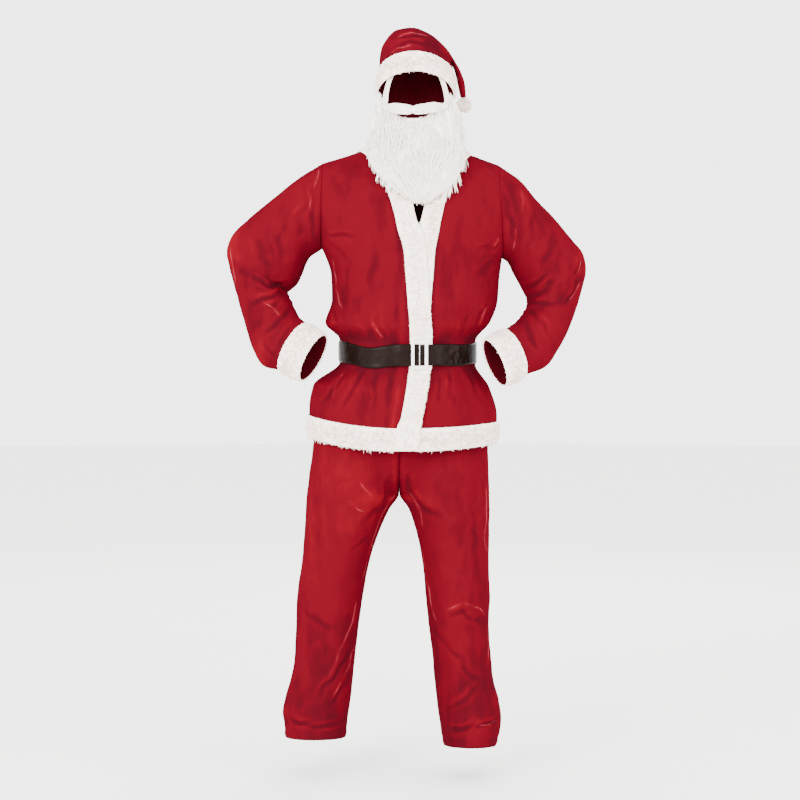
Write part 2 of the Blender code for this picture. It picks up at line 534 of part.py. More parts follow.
def leg_surface(side, down, share):
    """A trouser leg with its half of the seat. share runs from the front seam round the outside."""
    row = LEGS[side].at(down)
    hip, turn = np.pi * share, 2 * np.pi * share
    front, back = SIDE_Y - row.y_front, row.y_back - SIDE_Y
    seat = points(
        row.inner_x + (row.outer_x - row.inner_x) * np.sin(hip),
        SIDE_Y - np.where(share < 0.5, front, back) * np.cos(hip),
        -down,
    )
    lift = row.front_lift * np.maximum(np.sin(turn), 0)
    leg = points(
        (row.outer_x + row.inner_x) / 2 + (row.inner_x - row.outer_x) / 2 * np.cos(turn),
        SIDE_Y - np.where(share < 0.5, front, back) * np.sin(turn),
        lift - down,
    )
    below = np.clip((down - RISE_TOP_DOWN) / (CROTCH_DOWN - RISE_TOP_DOWN), 0, 1)
    beside_seam = np.exp(-((np.minimum(share, 1 - share) / 0.09) ** 2))
    slow = ramp(down, RISE_TOP_DOWN - 0.08, CROTCH_DOWN + 0.09)
    joined = (slow + (1 - np.sqrt(1 - below**2) - slow) * beside_seam)[..., None]
    return seat * (1 - joined) + leg * joined


def leg_grid(side):
    """Surface and normals of one leg; its two long edges are the inseam and half of the seat seam."""
    downs = LEG_DOWNS[side][:, None]
    share = np.linspace(0, 1, LEG_COLUMNS_ROUND + 1)[None, :]
    share = np.clip(share, GAP / 2, 1 - GAP / 2)
    downs, share = np.broadcast_arrays(downs, share)
    surface = leg_surface(side, downs, share)
    found = normals(lambda d, s: leg_surface(side, d, s), downs, share, 0.5, 1.46, 1e-3) * -HANDS[side]
    free = ramp(downs, 0.75, 0.80) * ramp(np.minimum(share, 1 - share), 0.0, 0.10)
    lift = fold_heights(surface, TROUSER_FOLDS) * free
    surface = surface + found * lift[..., None]
    surface[..., 0] += GAP / 2 * HANDS[side]
    return surface, found


def hat_grid(stations):
    """Surface and normals of the hat's crown."""
    rows = stations[:, None]
    angles = np.arange(HAT_COLUMNS_ROUND)[None, :] * 360 / HAT_COLUMNS_ROUND
    surface = tube(HAT, rows, angles, 1)
    found = normals(lambda s, a: tube(HAT, s, a * 100, 1), rows, angles / 100, 0, HAT_TIP)
    # In the flat tail the wall grows towards the middle of its loop, so its two sides stay apart.
    spread = unit(surface - surface.mean(axis=1, keepdims=True))
    in_tail = 0.5 * ramp(rows, 7.0, 9.0)[..., None]
    found = unit(found * (1 - in_tail) + spread * in_tail)
    lift = fold_heights(surface, HAT_FOLDS) * ramp(rows, 1.0, 2.0) * ramp(np.cos(np.radians(angles)), -0.5, 0)
    return surface + found * lift[..., None], found


def wall(name, outer, inner, material, wrapped=False):
    """A closed wall between two grids of points of the same size; wrapped joins the last column to the first."""
    rows, columns = outer.shape[:2]
    mesh = bmesh.new()
    faces = {}
    for layer, grid in (("outer", outer), ("inner", inner)):
        faces[layer] = [[mesh.verts.new(point) for point in row] for row in grid]
    last = columns if wrapped else columns - 1
    for i in range(rows - 1):
        for j in range(last):
            k = (j + 1) % columns
            a, b, c, d = (i, j), (i, k), (i + 1, k), (i + 1, j)
            # Both layers are split along the same, shorter diagonal, so a twisted square keeps its wall.
            if np.linalg.norm(outer[a] - outer[c]) <= np.linalg.norm(outer[b] - outer[d]):
                halves = ((a, b, c), (a, c, d))
            else:
                halves = ((b, c, d), (b, d, a))
            for half in halves:
                mesh.faces.new([faces["outer"][r][s] for r, s in half])
                mesh.faces.new([faces["inner"][r][s] for r, s in half[::-1]])
    rim = [((0, j), (0, (j + 1) % columns)) for j in range(last)]
    rim += [((rows - 1, (j + 1) % columns), (rows - 1, j)) for j in range(last)]
    if not wrapped:
        rim += [((i + 1, 0), (i, 0)) for i in range(rows - 1)]
        rim += [((i, columns - 1), (i + 1, columns - 1)) for i in range(rows - 1)]
    for (r, s), (t, u) in rim:
        outside, inside = faces["outer"], faces["inner"]
        mesh.faces.new([outside[t][u], outside[r][s], inside[r][s], inside[t][u]])
    return finish(name, mesh, material)


def finish(name, mesh, material):
    """Turns a bmesh into a smooth-shaded object with outward faces."""
    bmesh.ops.recalc_face_normals(mesh, faces=mesh.faces)
    data = bpy.data.meshes.new(name)
    mesh.to_mesh(data)
    mesh.free()
    data.shade_smooth()
    data.set_sharp_from_angle(angle=math.radians(50))
    data.materials.append(material)
    made = bpy.data.objects.new(name, data)
    bpy.context.scene.collection.objects.link(made)
    return made


def band_heights(height, count=len(BAND_SHARES)):
    """Heights of a plush band across its width: full in the middle, rounded off at both edges."""
    shape = np.array([0, 0.9, 1, 0.9, 0])[:count]
    return EDGE_PILE + (np.maximum(height, EDGE_PILE) - EDGE_PILE) * shape


def band(name, surface, normal, heights, material, wrapped=False, clear=GAP):
    """Plush that lies on cloth: the cloth's own points, moved out."""
    inner = surface + normal * clear
    outer = inner + normal * heights[..., None]
    return wall(name, outer, inner, material, wrapped)


def make_fronts(velour, plush):
    """Both fronts with the plush bands along their edges."""
    grids = {}
    columns = len(BAND_SHARES)
    for side in ("right", "left"):
        surface, normal = front_grid(side)
        wall(f"jacket_front_{side}", surface, surface - normal * WALL, velour)
        grids[side] = (surface, normal)
        x = surface[:, :columns, 0]
        if side == "right":
            belted = 1 - ramp(np.abs(BODY_ROWS - 3.5), 0.70, 1.0)
            height = PILE - (PILE - PRESSED_PILE) * belted[:, None] * np.ones_like(x)
        else:
            edge = TORSO.at(BODY_ROWS).edge_right[:, None]
            open_share = ramp(x, edge + 0.012, edge + 0.027)
            open_share = np.maximum(open_share, ramp(BODY_ROWS, 9.0, 9.5)[:, None])
            belted = (1 - ramp(np.abs(BODY_ROWS - 3.5), 0.70, 1.0))[:, None]
            height = PRESSED_PILE + (PILE - PRESSED_PILE) * open_share * (1 - belted)
        band(
            f"front_band_{side}",
            surface[:, :columns],
            normal[:, :columns],
            band_heights(height),
            plush,
        )
    return grids


def make_hem_band(grids, back, plush):
    """The plush round the hem, in one length from front band to front band."""
    rows = BODY_ROWS <= HEM_BAND_TOP + 1e-9
    first = len(BAND_SHARES) - 1
    runs = []
    for part in (0, 1):
        right = grids["right"][part][rows][:, first:]
        left = grids["left"][part][rows][:, first:]
        middle = back[part][rows]
        runs.append(np.concatenate([right[:, :-1], middle, left[:, -2::-1]], axis=1))
    surface, normal = runs
    surface, normal = surface.copy(), normal.copy()
    # The end columns stand off the front bands by the usual gap.
    for end, beside in ((0, 1), (-1, -2)):
        aside = unit(surface[:, beside] - surface[:, end])
        surface[:, end] += aside * 2 * GAP
    heights = band_heights(np.full(normal.shape[:2], PILE).T).T
    band("hem_band", surface, normal, heights, plush)


def make_neck_band(plush):
    """The plush round the back of the neck, from shoulder seam to shoulder seam."""
    angles = np.radians(np.linspace(-90, 90, 13))[:, None]
    shares = np.array(BAND_SHARES)[None, :]
    reach = NECK_SHARE + (NECK_BAND_SHARE - NECK_SHARE) * shares
    dip = NECK_DIP + (NECK_BAND_DIP - NECK_DIP) * shares
    across = reach * np.sin(angles)
    station = SHOULDER - dip * np.cos(angles)
    surface = torso(station, across, False)
    normal = torso_normal(station, across, False)
    surface[..., 1] += GAP
    heights = band_heights(np.full(across.shape, PILE))
    band("neck_band", surface, normal, heights, plush, clear=NECK_BAND_CLEAR)


def make_sleeves(velour, plush):
    """Sleeves with their plush cuffs."""
    for side in ("right", "left"):
        stations = np.concatenate([SLEEVE_ROWS, CUFF_ROWS[1:]])
        surface, normal = sleeve_grid(side, stations)
        wall(f"sleeve_{side}", surface, surface - normal * WALL, velour, wrapped=True)
        cuff, out = surface[-len(CUFF_ROWS) :], normal[-len(CUFF_ROWS) :]
        heights = band_heights(np.full(out.shape[:2], PILE).T).T
        band(f"cuff_{side}", cuff, out, heights, plush, wrapped=True)


def make_trousers(velour):
    """Two legs, seamed at the centre and the inseam, and the elastic waistband."""
    for side in ("right", "left"):
        surface, normal = leg_grid(side)
        wall(f"trouser_leg_{side}", surface, surface - normal * WALL, velour)
    share = np.linspace(0, 1, WAISTBAND_COLUMNS // 2 + 1)[:-1]
    loop = np.concatenate(
        [leg_surface("left", WAIST_DOWN, share), leg_surface("right", WAIST_DOWN, 1 - share)]
    )
    outer = np.stack([loop + (0, 0, GAP), loop + (0, 0, WAISTBAND_WIDTH)])
    inward = unit(loop * (1, 1, 0) - (LEGS["left"].at(WAIST_DOWN).inner_x, SIDE_Y, 0))
    wall("waistband", outer, outer - inward * WALL, velour, wrapped=True)


def belt_columns():
    """Positions round the waist from buckle to buckle, over the wearer's left; a whole turn is 4."""
    half = GAP
    return np.linspace(BUCKLE_AT + half, BUCKLE_AT + 4 - half, BELT_COLUMNS + 1)[None, :]


def body_loop(station, around):
    """Points and normals right round the body at positions 0 to 4."""
    turn = np.mod(around, 4)
    on_front = (turn <= 1) | (turn >= 3)
    across = np.where(turn <= 1, turn, np.where(turn >= 3, turn - 4, 2 - turn))
    station, across = np.broadcast_arrays(station, across)
    on_front = np.broadcast_to(on_front, across.shape)[..., None]
    surface = np.where(on_front, torso(station, across, True), torso(station, across, False))
    normal = np.where(on_front, torso_normal(station, across, True), torso_normal(station, across, False))
    return surface, normal


BUCKLE_X = 0.0055
BUCKLE_AT = float(across_of(3.5, BUCKLE_X))
STACK = PRESSED_PILE + GAP + 0.0009 + WALL + GAP + PRESSED_PILE  # both fronts' layers under the belt


def make_belt(vinyl, metal):
    """A strap round the waist whose ends meet behind the buckle's centre bar."""
    rows = np.array([BELT_LOW + 0.02, 3.5, BELT_HIGH - 0.02])[:, None]
    surface, normal = body_loop(rows, belt_columns())
    edge = TORSO.at(3.5).edge_right
    x = surface[..., 0]
    in_front = surface[..., 1] < 0
    rise = ramp(x, edge - 0.108, edge - 0.064) * (1 - ramp(x, edge + 0.013, edge + 0.058))
    inner = surface + normal * (BELT_CLEAR + STACK * rise * in_front)[..., None]
    wall("belt", inner + normal * BELT_THICK, inner, vinyl)

    at, out = body_loop(3.5, np.array([[BUCKLE_AT]]))
    at, out = at[0, 0], out[0, 0]
    reach = BELT_CLEAR + STACK + BELT_THICK
    frame = buckle_frame()
    bar = box_mesh(CENTRE_BAR, BUCKLE_THICK - 2 * GAP, BUCKLE_HEIGHT - BUCKLE_BAR)
    buckle = finish("buckle", frame, metal)
    cutter = finish("buckle_centre_bar", bar, metal)
    cutter.hide_render = True
    cutter.display_type = "WIRE"
    join = buckle.modifiers.new("centre bar", "BOOLEAN")
    join.operation, join.object = "UNION", cutter
    holder = bpy.data.objects.new("buckle_place", None)
    bpy.context.scene.collection.objects.link(holder)
    holder.location = at + out * (reach + 4 * GAP + BUCKLE_THICK / 2)
    holder.rotation_euler.z = math.atan2(out[0], -out[1])
    buckle.parent = cutter.parent = holder


def box_mesh(width, depth, height):
    """A box about its own middle."""
    mesh = bmesh.new()
    bmesh.ops.create_cube(mesh, size=1)
    bmesh.ops.scale(mesh, verts=mesh.verts, vec=(width, depth, height))
    return mesh


def buckle_frame():
    """A rectangular frame with rounded corners: its outline, inset, opened and extruded."""
    corner, steps = 0.005, 3
    outline = []
    for quarter, (sx, sz) in enumerate(((1, 1), (-1, 1), (-1, -1), (1, -1))):
        for k in range(steps + 1):
            turn = math.pi / 2 * (quarter + k / steps)
            cx = sx * (BUCKLE_WIDTH / 2 - corner)
            cz = sz * (BUCKLE_HEIGHT / 2 - corner)
            outline.append((cx + corner * math.cos(turn), cz + corner * math.sin(turn)))
    shrink_x = (BUCKLE_WIDTH - 2 * BUCKLE_BAR) / BUCKLE_WIDTH
    shrink_z = (BUCKLE_HEIGHT - 2 * BUCKLE_BAR) / BUCKLE_HEIGHT
    mesh = bmesh.new()
    loops = []
    for y in (-BUCKLE_THICK / 2, BUCKLE_THICK / 2):
        loops.append([mesh.verts.new((x, y, z)) for x, z in outline])
        loops.append([mesh.verts.new((x * shrink_x, y, z * shrink_z)) for x, z in outline])
    front_out, front_in, back_out, back_in = loops
    count = len(outline)
    for i in range(count):
        j = (i + 1) % count
        for first, second in (
            (front_out, front_in),
            (front_in, back_in),
            (back_in, back_out),
            (back_out, front_out),
        ):
            mesh.faces.new([first[i], first[j], second[j], second[i]])
    return mesh


def make_hat(velour, plush):
    """Crown and tail in one cut, the plush band at its edge, and the pompom at its tip."""
    surface, normal = hat_grid(HAT_ROWS)
    thick = WALL * (1 - 0.4 * ramp(HAT_ROWS, 3.0, 5.0))[:, None, None]
    wall("hat_crown", surface, surface - normal * thick, velour, wrapped=True)
    rows = HAT_ROWS <= 1
    heights = band_heights(np.full(normal[rows].shape[:2], PILE).T).T
    band("hat_band", surface[rows], normal[rows], heights, plush, wrapped=True)

    ball = bmesh.new()
    bmesh.ops.create_icosphere(ball, subdivisions=2, radius=POMPOM_CORE)
    locks = bmesh.ops.poke(ball, faces=ball.faces[:])["verts"]
    for number, tip in enumerate(locks):
        reach = POMPOM_REACH * (0.92 + 0.08 * math.cos(2.4 * number))
        tip.co = tip.co.normalized() * reach
    pompom = finish("hat_pompom", ball, plush)
    pompom.location = POMPOM_CENTRE


def make_beard(hair):
    """The beard's pad of hair, the moustache over its upper edge and the whiskers up to the hat."""
    shares = np.linspace(0, 1, 13)[:, None]
    across = np.linspace(-1, 1, 19)[None, :]
    row = BEARD.at(np.broadcast_to(shares, (13, 19)))
    arc = np.radians(86 - 44 * ramp(shares, 0.3, 1.0))
    turn = across * arc
    rim = ramp(np.abs(across), 0.28, 0.822)
    jag = 0.006 * np.cos(np.arange(19) * np.pi)[None, :] * ramp(shares, 0.55, 1.0)
    back = points(
        row.mid_x + row.half_width * np.sin(turn) / np.sin(arc),
        row.y_mid + (row.y_edge - row.y_mid) * (1 - np.cos(turn)) / (1 - np.cos(arc)),
        row.z_mid + (row.z_edge - row.z_mid) * rim - jag,
    )
    out = unit(points(0.8 * np.sin(turn), -np.cos(turn) - 0.15, -0.25 * shares))
    locks = 1 + 0.12 * np.cos(np.arange(19) * np.pi)[None, :]
    thick = row.depth * (0.25 + 0.75 * np.cos(across * 1.45) ** 0.7) * locks
    wall("beard", back + out * thick[..., None], back, hair)

    shares = np.linspace(0, 1, 15)[:, None]
    turn = np.radians(np.arange(8) * 45)[None, :]
    row = MOUSTACHE.at(np.broadcast_to(shares, (15, 8)))
    tube_points = points(row.x, row.y - row.half_depth * np.sin(turn), row.z + row.half_height * np.cos(turn))
    capped_tube("moustache", tube_points, hair)

    for side, hand in HANDS.items():
        row = WHISKERS[side].at(np.linspace(0, 1, 7)[:, None] * np.ones((1, 3)))
        side_step = np.array([[-1, 0, 1]])
        across = side_step * row.half_width
        face = points(
            hand * (row.x + across * 0.75),
            row.y + np.abs(across) * 0.1 + across * 0.66,
            row.z + side_step * row.tilt,
        )
        out = unit(points(hand * 0.66, -0.75, 0) * np.ones(face.shape))
        wall(f"whisker_{side}", face + out * WHISKER_THICK, face, hair)


def capped_tube(name, rings, material):
    """A tube through rings of points, closed at both ends."""
    mesh = bmesh.new()
    verts = [[mesh.verts.new(point) for point in ring] for ring in rings]
    count = len(verts[0])
    for one, two in zip(verts, verts[1:]):
        for j in range(count):
            k = (j + 1) % count
            mesh.faces.new([one[j], one[k], two[k], two[j]])
    mesh.faces.new(verts[0][::-1])
    mesh.faces.new(verts[-1])
    return finish(name, mesh, material)


def material(name, colour, roughness, metallic=0.0):
    """A plain Principled material."""
    made = bpy.data.materials.new(name)
    made.use_nodes = True
    shader = made.node_tree.nodes["Principled BSDF"]
    shader.inputs["Base Color"].default_value = (*colour, 1)
    shader.inputs["Roughness"].default_value = roughness
    shader.inputs["Metallic"].default_value = metallic
    return made


def clear_scene():
    for old in list(bpy.data.objects):
        bpy.data.objects.remove(old, do_unlink=True)


def main():
    clear_scene()
    velour = material("red velour", (0.42, 0.010, 0.018), 0.75)
    plush = material("white plush", (0.82, 0.79, 0.76), 0.95)
    hair = material("white hair", (0.86, 0.84, 0.81), 0.8)
    vinyl = material("black vinyl", (0.02, 0.017, 0.015), 0.35)
    metal = material("silvered buckle", (0.86, 0.85, 0.84), 0.25, 1.0)
    fronts = make_fronts(velour, plush)
    back = back_grid()
    wall("jacket_back", back[0], back[0] - back[1] * WALL, velour)
    make_hem_band(fronts, back, plush)
    make_neck_band(plush)
    make_sleeves(velour, plush)
    make_trousers(velour)
    make_belt(vinyl, metal)
    make_hat(velour, plush)
    make_beard(hair)


main()
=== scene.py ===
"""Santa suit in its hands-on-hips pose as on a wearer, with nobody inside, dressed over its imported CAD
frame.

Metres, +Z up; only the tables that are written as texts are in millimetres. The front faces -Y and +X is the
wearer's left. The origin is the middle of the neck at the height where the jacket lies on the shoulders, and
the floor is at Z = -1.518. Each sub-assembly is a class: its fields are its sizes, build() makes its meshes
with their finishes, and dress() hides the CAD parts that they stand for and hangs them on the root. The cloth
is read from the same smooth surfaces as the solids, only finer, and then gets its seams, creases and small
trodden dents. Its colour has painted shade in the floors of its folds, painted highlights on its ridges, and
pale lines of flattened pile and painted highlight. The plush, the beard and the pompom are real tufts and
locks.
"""

import logging
import math
from collections import namedtuple
from dataclasses import dataclass
from enum import Enum
from typing import Callable, Iterable, NamedTuple, Sequence

import bmesh
import bpy
import numpy as np
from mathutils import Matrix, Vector


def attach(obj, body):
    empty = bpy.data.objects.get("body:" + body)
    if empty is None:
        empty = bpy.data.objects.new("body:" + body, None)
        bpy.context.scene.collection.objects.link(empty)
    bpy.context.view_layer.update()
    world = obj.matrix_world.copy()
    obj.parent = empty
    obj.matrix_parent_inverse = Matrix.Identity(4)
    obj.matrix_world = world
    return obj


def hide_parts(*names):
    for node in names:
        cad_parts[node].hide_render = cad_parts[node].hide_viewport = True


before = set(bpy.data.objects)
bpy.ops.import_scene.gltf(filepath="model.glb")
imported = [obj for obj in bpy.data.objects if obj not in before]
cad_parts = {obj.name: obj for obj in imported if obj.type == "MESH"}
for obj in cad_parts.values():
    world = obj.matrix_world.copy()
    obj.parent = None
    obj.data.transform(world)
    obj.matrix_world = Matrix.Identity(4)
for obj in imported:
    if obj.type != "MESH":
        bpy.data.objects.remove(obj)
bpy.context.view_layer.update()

log = logging.getLogger("santa_suit")
Array = np.ndarray
Pair = tuple[np.ndarray, np.ndarray]  # points with their normals, or with the triangles between them
Line = tuple[tuple[float, ...], ...]
Piece, Material = bpy.types.Object, bpy.types.Material
Node, Tree = bpy.types.Node, bpy.types.NodeTree
SMOOTH = {"interpolation_type": "SMOOTHSTEP"}  # of a Map Range node
COLOURS = {"data_type": "RGBA"}  # of a Mix node

WALL = 0.0020  # velour wall
CLOTH = 0.0017  # thickness that the dressed cloth gets inside that wall
GAP = 0.0003  # between neighbouring pieces
SEWN_GAP = 0.00002  # where two legs' edges are sewn to each other
PILE = 0.0080  # height of the white plush, backing and pile together
PRESSED_PILE = 0.0035  # plush under the belt or under the other front
OVERLAP = PRESSED_PILE + GAP + 0.0009 + WALL  # how high the upper front lies over the under one
EDGE_COVER = 0.0015  # how far a band's pile reaches past the cloth's edge
# Stations of the jacket body
HEM, HEM_BAND_TOP, BELT_LOW, BELT_MIDDLE, UNDERARM, SHOULDER = 0, 0.8, 3, 3.5, 8, 12
CUFF_SEAM, CUFF_END, HAT_END = 11, 12, 11  # stations of the sleeves and of the hat
SIDE_Y = 0.005  # of the side seams
BELT_THICK, BELT_CLEAR = 0.0025, 0.0010
CROTCH_DOWN, RISE_TOP_DOWN, WAIST_DOWN = 0.828, 0.66, 0.513  # metres below the origin
WAISTBAND_WIDTH = 0.036
# The back's neckline and its plush's lower edge: how far across they reach and how many stations down
NECK_SHARE, NECK_DIP = 0.365, 0.55
NECK_BAND_SHARE, NECK_BAND_DIP, NECK_BAND_CLEAR = 0.600, 0.97, 0.0012
FOLD_SHARE = 0.60  # of a large fold's height on the solids
SEAM_WIDTH, SWELL_OFF, SWELL_WIDTH = 0.0045, 0.011, 0.006  # a seam's furrow, and the swell beside it
PUCKERS = (0.011, 0.027)  # metres between the puckers that its thread draws, fine and coarse
# Over these, the velour's painted highlights on ridges and painted shade in fold floors are found
FINE_FOLD, BROAD_FOLD = 0.012, 0.030  # how much of the cloth round it tells whether a place is a ridge
FLOOR_Z = -1.518
SEED = 24


class Side(Enum):
    """The wearer's right or left; the value is its direction along X."""

    RIGHT = -1
    LEFT = 1

    @property
    def word(self) -> str:
        """The side's name in the names of pieces."""
        return self.name.lower()


def metres(text: str) -> tuple[float, ...]:
    """The lengths in a text that gives them in millimetres."""
    return tuple(float(f"{word}e-3") for word in text.split())


def drawn(text: str) -> Line:
    """The points of a line, with a comma between two points and their coordinates in millimetres."""
    return tuple(metres(point) for point in text.split(","))


def table_of(kind: type, text: str) -> tuple:
    """Folds or creases, one from each line of a text: its points, then its width and its height."""
    rows = (row.split(":") for row in text.strip().splitlines())
    return tuple(kind(drawn(path), *metres(size)) for path, size in rows)


def lines_of(text: str) -> tuple[Line, ...]:
    """Lines, one from each line of a text."""
    return tuple(drawn(row) for row in text.strip().splitlines())


class Profile:
    """A table with named columns that is read along smooth curves at any value of its first column."""

    PLAIN = ("station", "share", "arc", "lift", "turn")  # columns that hold no lengths

    def __init__(self, columns: str, text: str) -> None:
        """Keeps the rows and the slope of each column at each of them.

        Args:
            columns: The names of the columns, with spaces between them.
            text: One line for each station, in rising order of the first column, lengths in millimetres.
        """
        self.row = namedtuple("Row", columns)
        units = ["" if name in self.PLAIN else "e-3" for name in columns.split()]
        rows = (zip(row.split(), units) for row in text.strip().splitlines())
        self.data = np.array([[float(word + unit) for word, unit in row] for row in rows])
        step = np.diff(self.data[:, 0])[:, None]
        rise = np.diff(self.data, axis=0) / step
        self.slope = np.vstack([rise[:1], rise[:1] * 0 + rise[-1:]])
        if len(rise) > 1:
            before, after = rise[:-1], rise[1:]
            same_way = before * after > 0
            mean = 2 * before * after / np.where(same_way, before + after, 1)
            self.slope = np.vstack([rise[:1], np.where(same_way, mean, 0), rise[-1:]])

    def at(self, key: Array | float) -> NamedTuple:
        """Reads the table.

        Args:
            key: Values of the first column.

        Returns:
            The row at each key, every column an array like the key.
        """
        keys = self.data[:, 0]
        key = np.clip(np.asarray(key, float), keys[0], keys[-1])
        i = np.clip(np.searchsorted(keys, key, side="right") - 1, 0, len(keys) - 2)
        step = (keys[i + 1] - keys[i])[..., None]
        t = (key - keys[i])[..., None] / step
        low, high = self.data[i], self.data[i + 1]
        value = low * (1 + 2 * t) * (1 - t) ** 2 + high * t * t * (3 - 2 * t)
        value = value + step * (self.slope[i] * t * (1 - t) ** 2 + self.slope[i + 1] * t * t * (t - 1))
        return self.row(*np.moveaxis(value, -1, 0))


# Jacket body. z and x of the side seams, and the middle line of the front and of the back. Above the
# underarm the rows end on the armholes, so their side columns only repeat the underarm. edge_right and
# edge_left are the x of the front edges: the wearer's right front lies over the left one.
TORSO = Profile(
    "station z_right z_left z_front z_back x_right x_left mid_x y_front y_back arc lift edge_right edge_left",
    """
    0 -690 -704 -717 -700 -260 194 -33 -158 134 90 2 -3 -49.5
    1 -625 -640 -650 -635 -261 198 -31 -154 130 90 2 6 -40.5
    2 -565 -570 -580 -565 -251 179 -33 -143 119 90 2 19 -31
    3 -508 -512 -516.5 -505 -186 145 -20.5 -121.5 95.5 90 2 28 -22.5
    4 -455 -459 -463.5 -452 -186 145 -20.5 -121.5 95.5 90 2 30 -18
    5 -412 -412 -415 -405 -221 180 -18 -139 112 90 2 29 -19
    6 -355 -360 -355 -350 -205 199 -3 -145 118 90 2 25 -16.5
    7 -295 -305 -300 -295 -207 203 -1 -144 121 90 2 21 -12
    8 -233 -256 -245 -240 -229 210 0 -142 122 90 2 16.5 -8
    9 -233 -256 -178 -178 -229 210 0 -140 122 78 1.8 4.5 4.5
    10 -233 -256 -112 -110 -229 210 0 -128 112 66 1.5 -10 21
    11 -233 -256 -40 -35 -229 210 0 -95 80 55 1.2 -36 44
    12 -233 -256 45 45 -229 210 0 4 4 45 1 -85 85
    """,
)
BAND_WIDTH = Profile(
    "station width",
    """
    0 48
    4 50
    9 51
    10 54
    11 60
    12 50
    """,
)

# Sleeves: each section is a loop about the line from its outer point to its inner point. turn is how
# far the arm comes forward there, in degrees. Station 0 is the armhole, 11 the cuff's seam, 12 the end.
SLEEVE_COLUMNS = "station outer_x outer_z inner_x inner_z mid_y half_depth turn"
SLEEVES = {
    Side.RIGHT: Profile(
        SLEEVE_COLUMNS,
        """
        0 -226 -25 -229 -233 5 85 0
        1 -285 -61 -263 -256 9 83 -6
        2 -345 -108 -279 -294 15 80 -8
        3 -402 -153 -293 -320 22 77 -9
        4 -452 -203 -307 -333 28 75 -6
        5 -464 -240 -314 -338 29 74 2
        6 -457 -276 -312 -347 26 73 10
        7 -442 -329 -303 -366 15 71 18
        8 -421 -402 -291 -388 -3 68 22
        9 -393 -482 -281 -401 -26 64 24
        10 -366 -519 -274 -407 -43 58 24
        11 -328 -527.5 -266 -416.5 -58 52 22
        12 -276 -549.5 -220 -443.5 -77 48 20
        """,
    ),
    Side.LEFT: Profile(
        SLEEVE_COLUMNS,
        """
        0 199 -29 210 -256 5 87 0
        1 253 -67 224 -264 9 84 -6
        2 292 -112 238 -291 15 80 -8
        3 335 -155 253 -317 22 77 -9
        4 380 -208 265 -340 28 75 -6
        5 410 -245 272 -356 29 74 2
        6 417 -282 271 -373 26 73 10
        7 399 -355 263 -390 15 71 18
        8 371 -433 251 -404 -3 68 22
        9 342 -482 238 -415 -26 64 24
        10 313 -520 226 -421 -43 58 24
        11 259.7 -540 213.3 -431 -58 52 22
        12 212.7 -562 167.3 -455 -77 48 20
        """,
    ),
}

# Trouser legs: outer and inner line, front and back, at each distance below the origin. The front of
# the hem is lifted by what the shoe under it holds up.
LEG_COLUMNS = "down outer_x inner_x y_front y_back front_lift"
LEGS = {
    Side.RIGHT: Profile(
        LEG_COLUMNS,
        """
        513 -181.5 -20.5 -116.5 91 0
        560 -205 -30 -124 102 0
        620 -232 -36 -130 113 0
        700 -249 -39 -136 121 0
        760 -257 -41 -137 124 0
        828 -266 -41 -126 120 0
        868 -269 -65 -117 114 0
        930 -273 -93 -106 105 0
        1000 -279 -115 -100 100 0
        1082 -291 -130 -90 88 0
        1166 -294 -142 -85 86 0
        1247 -299 -151 -82 90 0
        1331 -320 -160 -84 96 0
        1365 -327 -165 -88 100 1
        1395 -323 -169 -91 103 4
        1430 -321 -172 -94 104 10
        """,
    ),
    Side.LEFT: Profile(
        LEG_COLUMNS,
        """
        513 140.5 -20.5 -116.5 91 0
        560 156 -30 -124 102 0
        620 168 -36 -130 113 0
        700 175 -39 -136 121 0
        760 177 -41 -138 123 0
        828 179 -41 -128 117 0
        868 180 -17 -120 110 0
        930 179 3 -113 100 0
        1011 178 18 -110 92 0
        1077 181 24 -107 82 0
        1149 178 31 -107 76 0
        1220 183 40 -109 74 0
        1290 190 46 -113 73 0
        1336 203 51 -118 72 0
        1386 209 58 -125 70 5
        1450 198 68 -131 67 18
        """,
    ),
}

# Hat crown, from its lower edge over the head to the tip of the tail on the wearer's left.
HAT = Profile(
    SLEEVE_COLUMNS,
    """
    0 -93 140 91 135 -5 112.4 -25.7
    1 -90 190 89 180 -5 112 -25
    2 -87 239 89 192 -3 105.8 -17.5
    3 -73 271 88 200.5 0 98.4 -9.5
    4 -47 296 87 206 4 90 -4
    5 -9 303 87 211 8 79 0
    6 34 287 88.5 214.5 13 66 0
    7 71 256 91.5 211 18 50 0
    8 96.5 221.5 95 198.5 23 36 0
    9 111 196 99 182 27 26 0
    10 120 168 103 163 29 17 0
    11 122.5 138.5 109 137.5 30 9 0
    """,
)

# Beard: its back, row by row from the lip to the lowest locks, and its depth of hair there.
BEARD = Profile(
    "share z_mid z_edge half_width mid_x y_mid y_edge depth",
    """
    0 72.5 124 92 -2 -108 -32 12
    0.14 57 88 100 0 -112 -37 20
    0.28 32 45 106 0 -113 -47 26
    0.44 0 5 108 0 -117 -68 28
    0.6 -35 -33 100 2 -124 -99 27
    0.76 -70 -66 84 5 -131.5 -120 23
    0.9 -100 -92 62 9 -137.3 -132 16
    1 -120 -108 40 10 -138.8 -136.3 9
    """,
)
MOUSTACHE = Profile(
    "share x y z half_height half_depth",
    """
    0 -79 -93 101 5 3
    0.2 -48 -119 95 12 6.2
    0.5 -6 -132.5 91 11 6.8
    0.8 38 -122.5 97 12 6.2
    1 74 -92.5 103 5 3
    """,
)
WHISKERS = {
    Side.RIGHT: Profile(
        "share x y z half_width tilt",
        """
        0 57 -64.8 179.8 7 0
        0.35 63.2 -72.3 159.8 8 0
        0.7 70.2 -78 129 9 3
        1 74 -79 105.7 9 8
        """,
    ),
    Side.LEFT: Profile(
        "share x y z half_width tilt",
        """
        0 54.8 -63.3 179.8 7 0
        0.35 61.3 -70.8 159.8 8 0
        0.7 69.6 -77.5 129 9 3
        1 74 -79 108.1 9 8
        """,
    ),
}

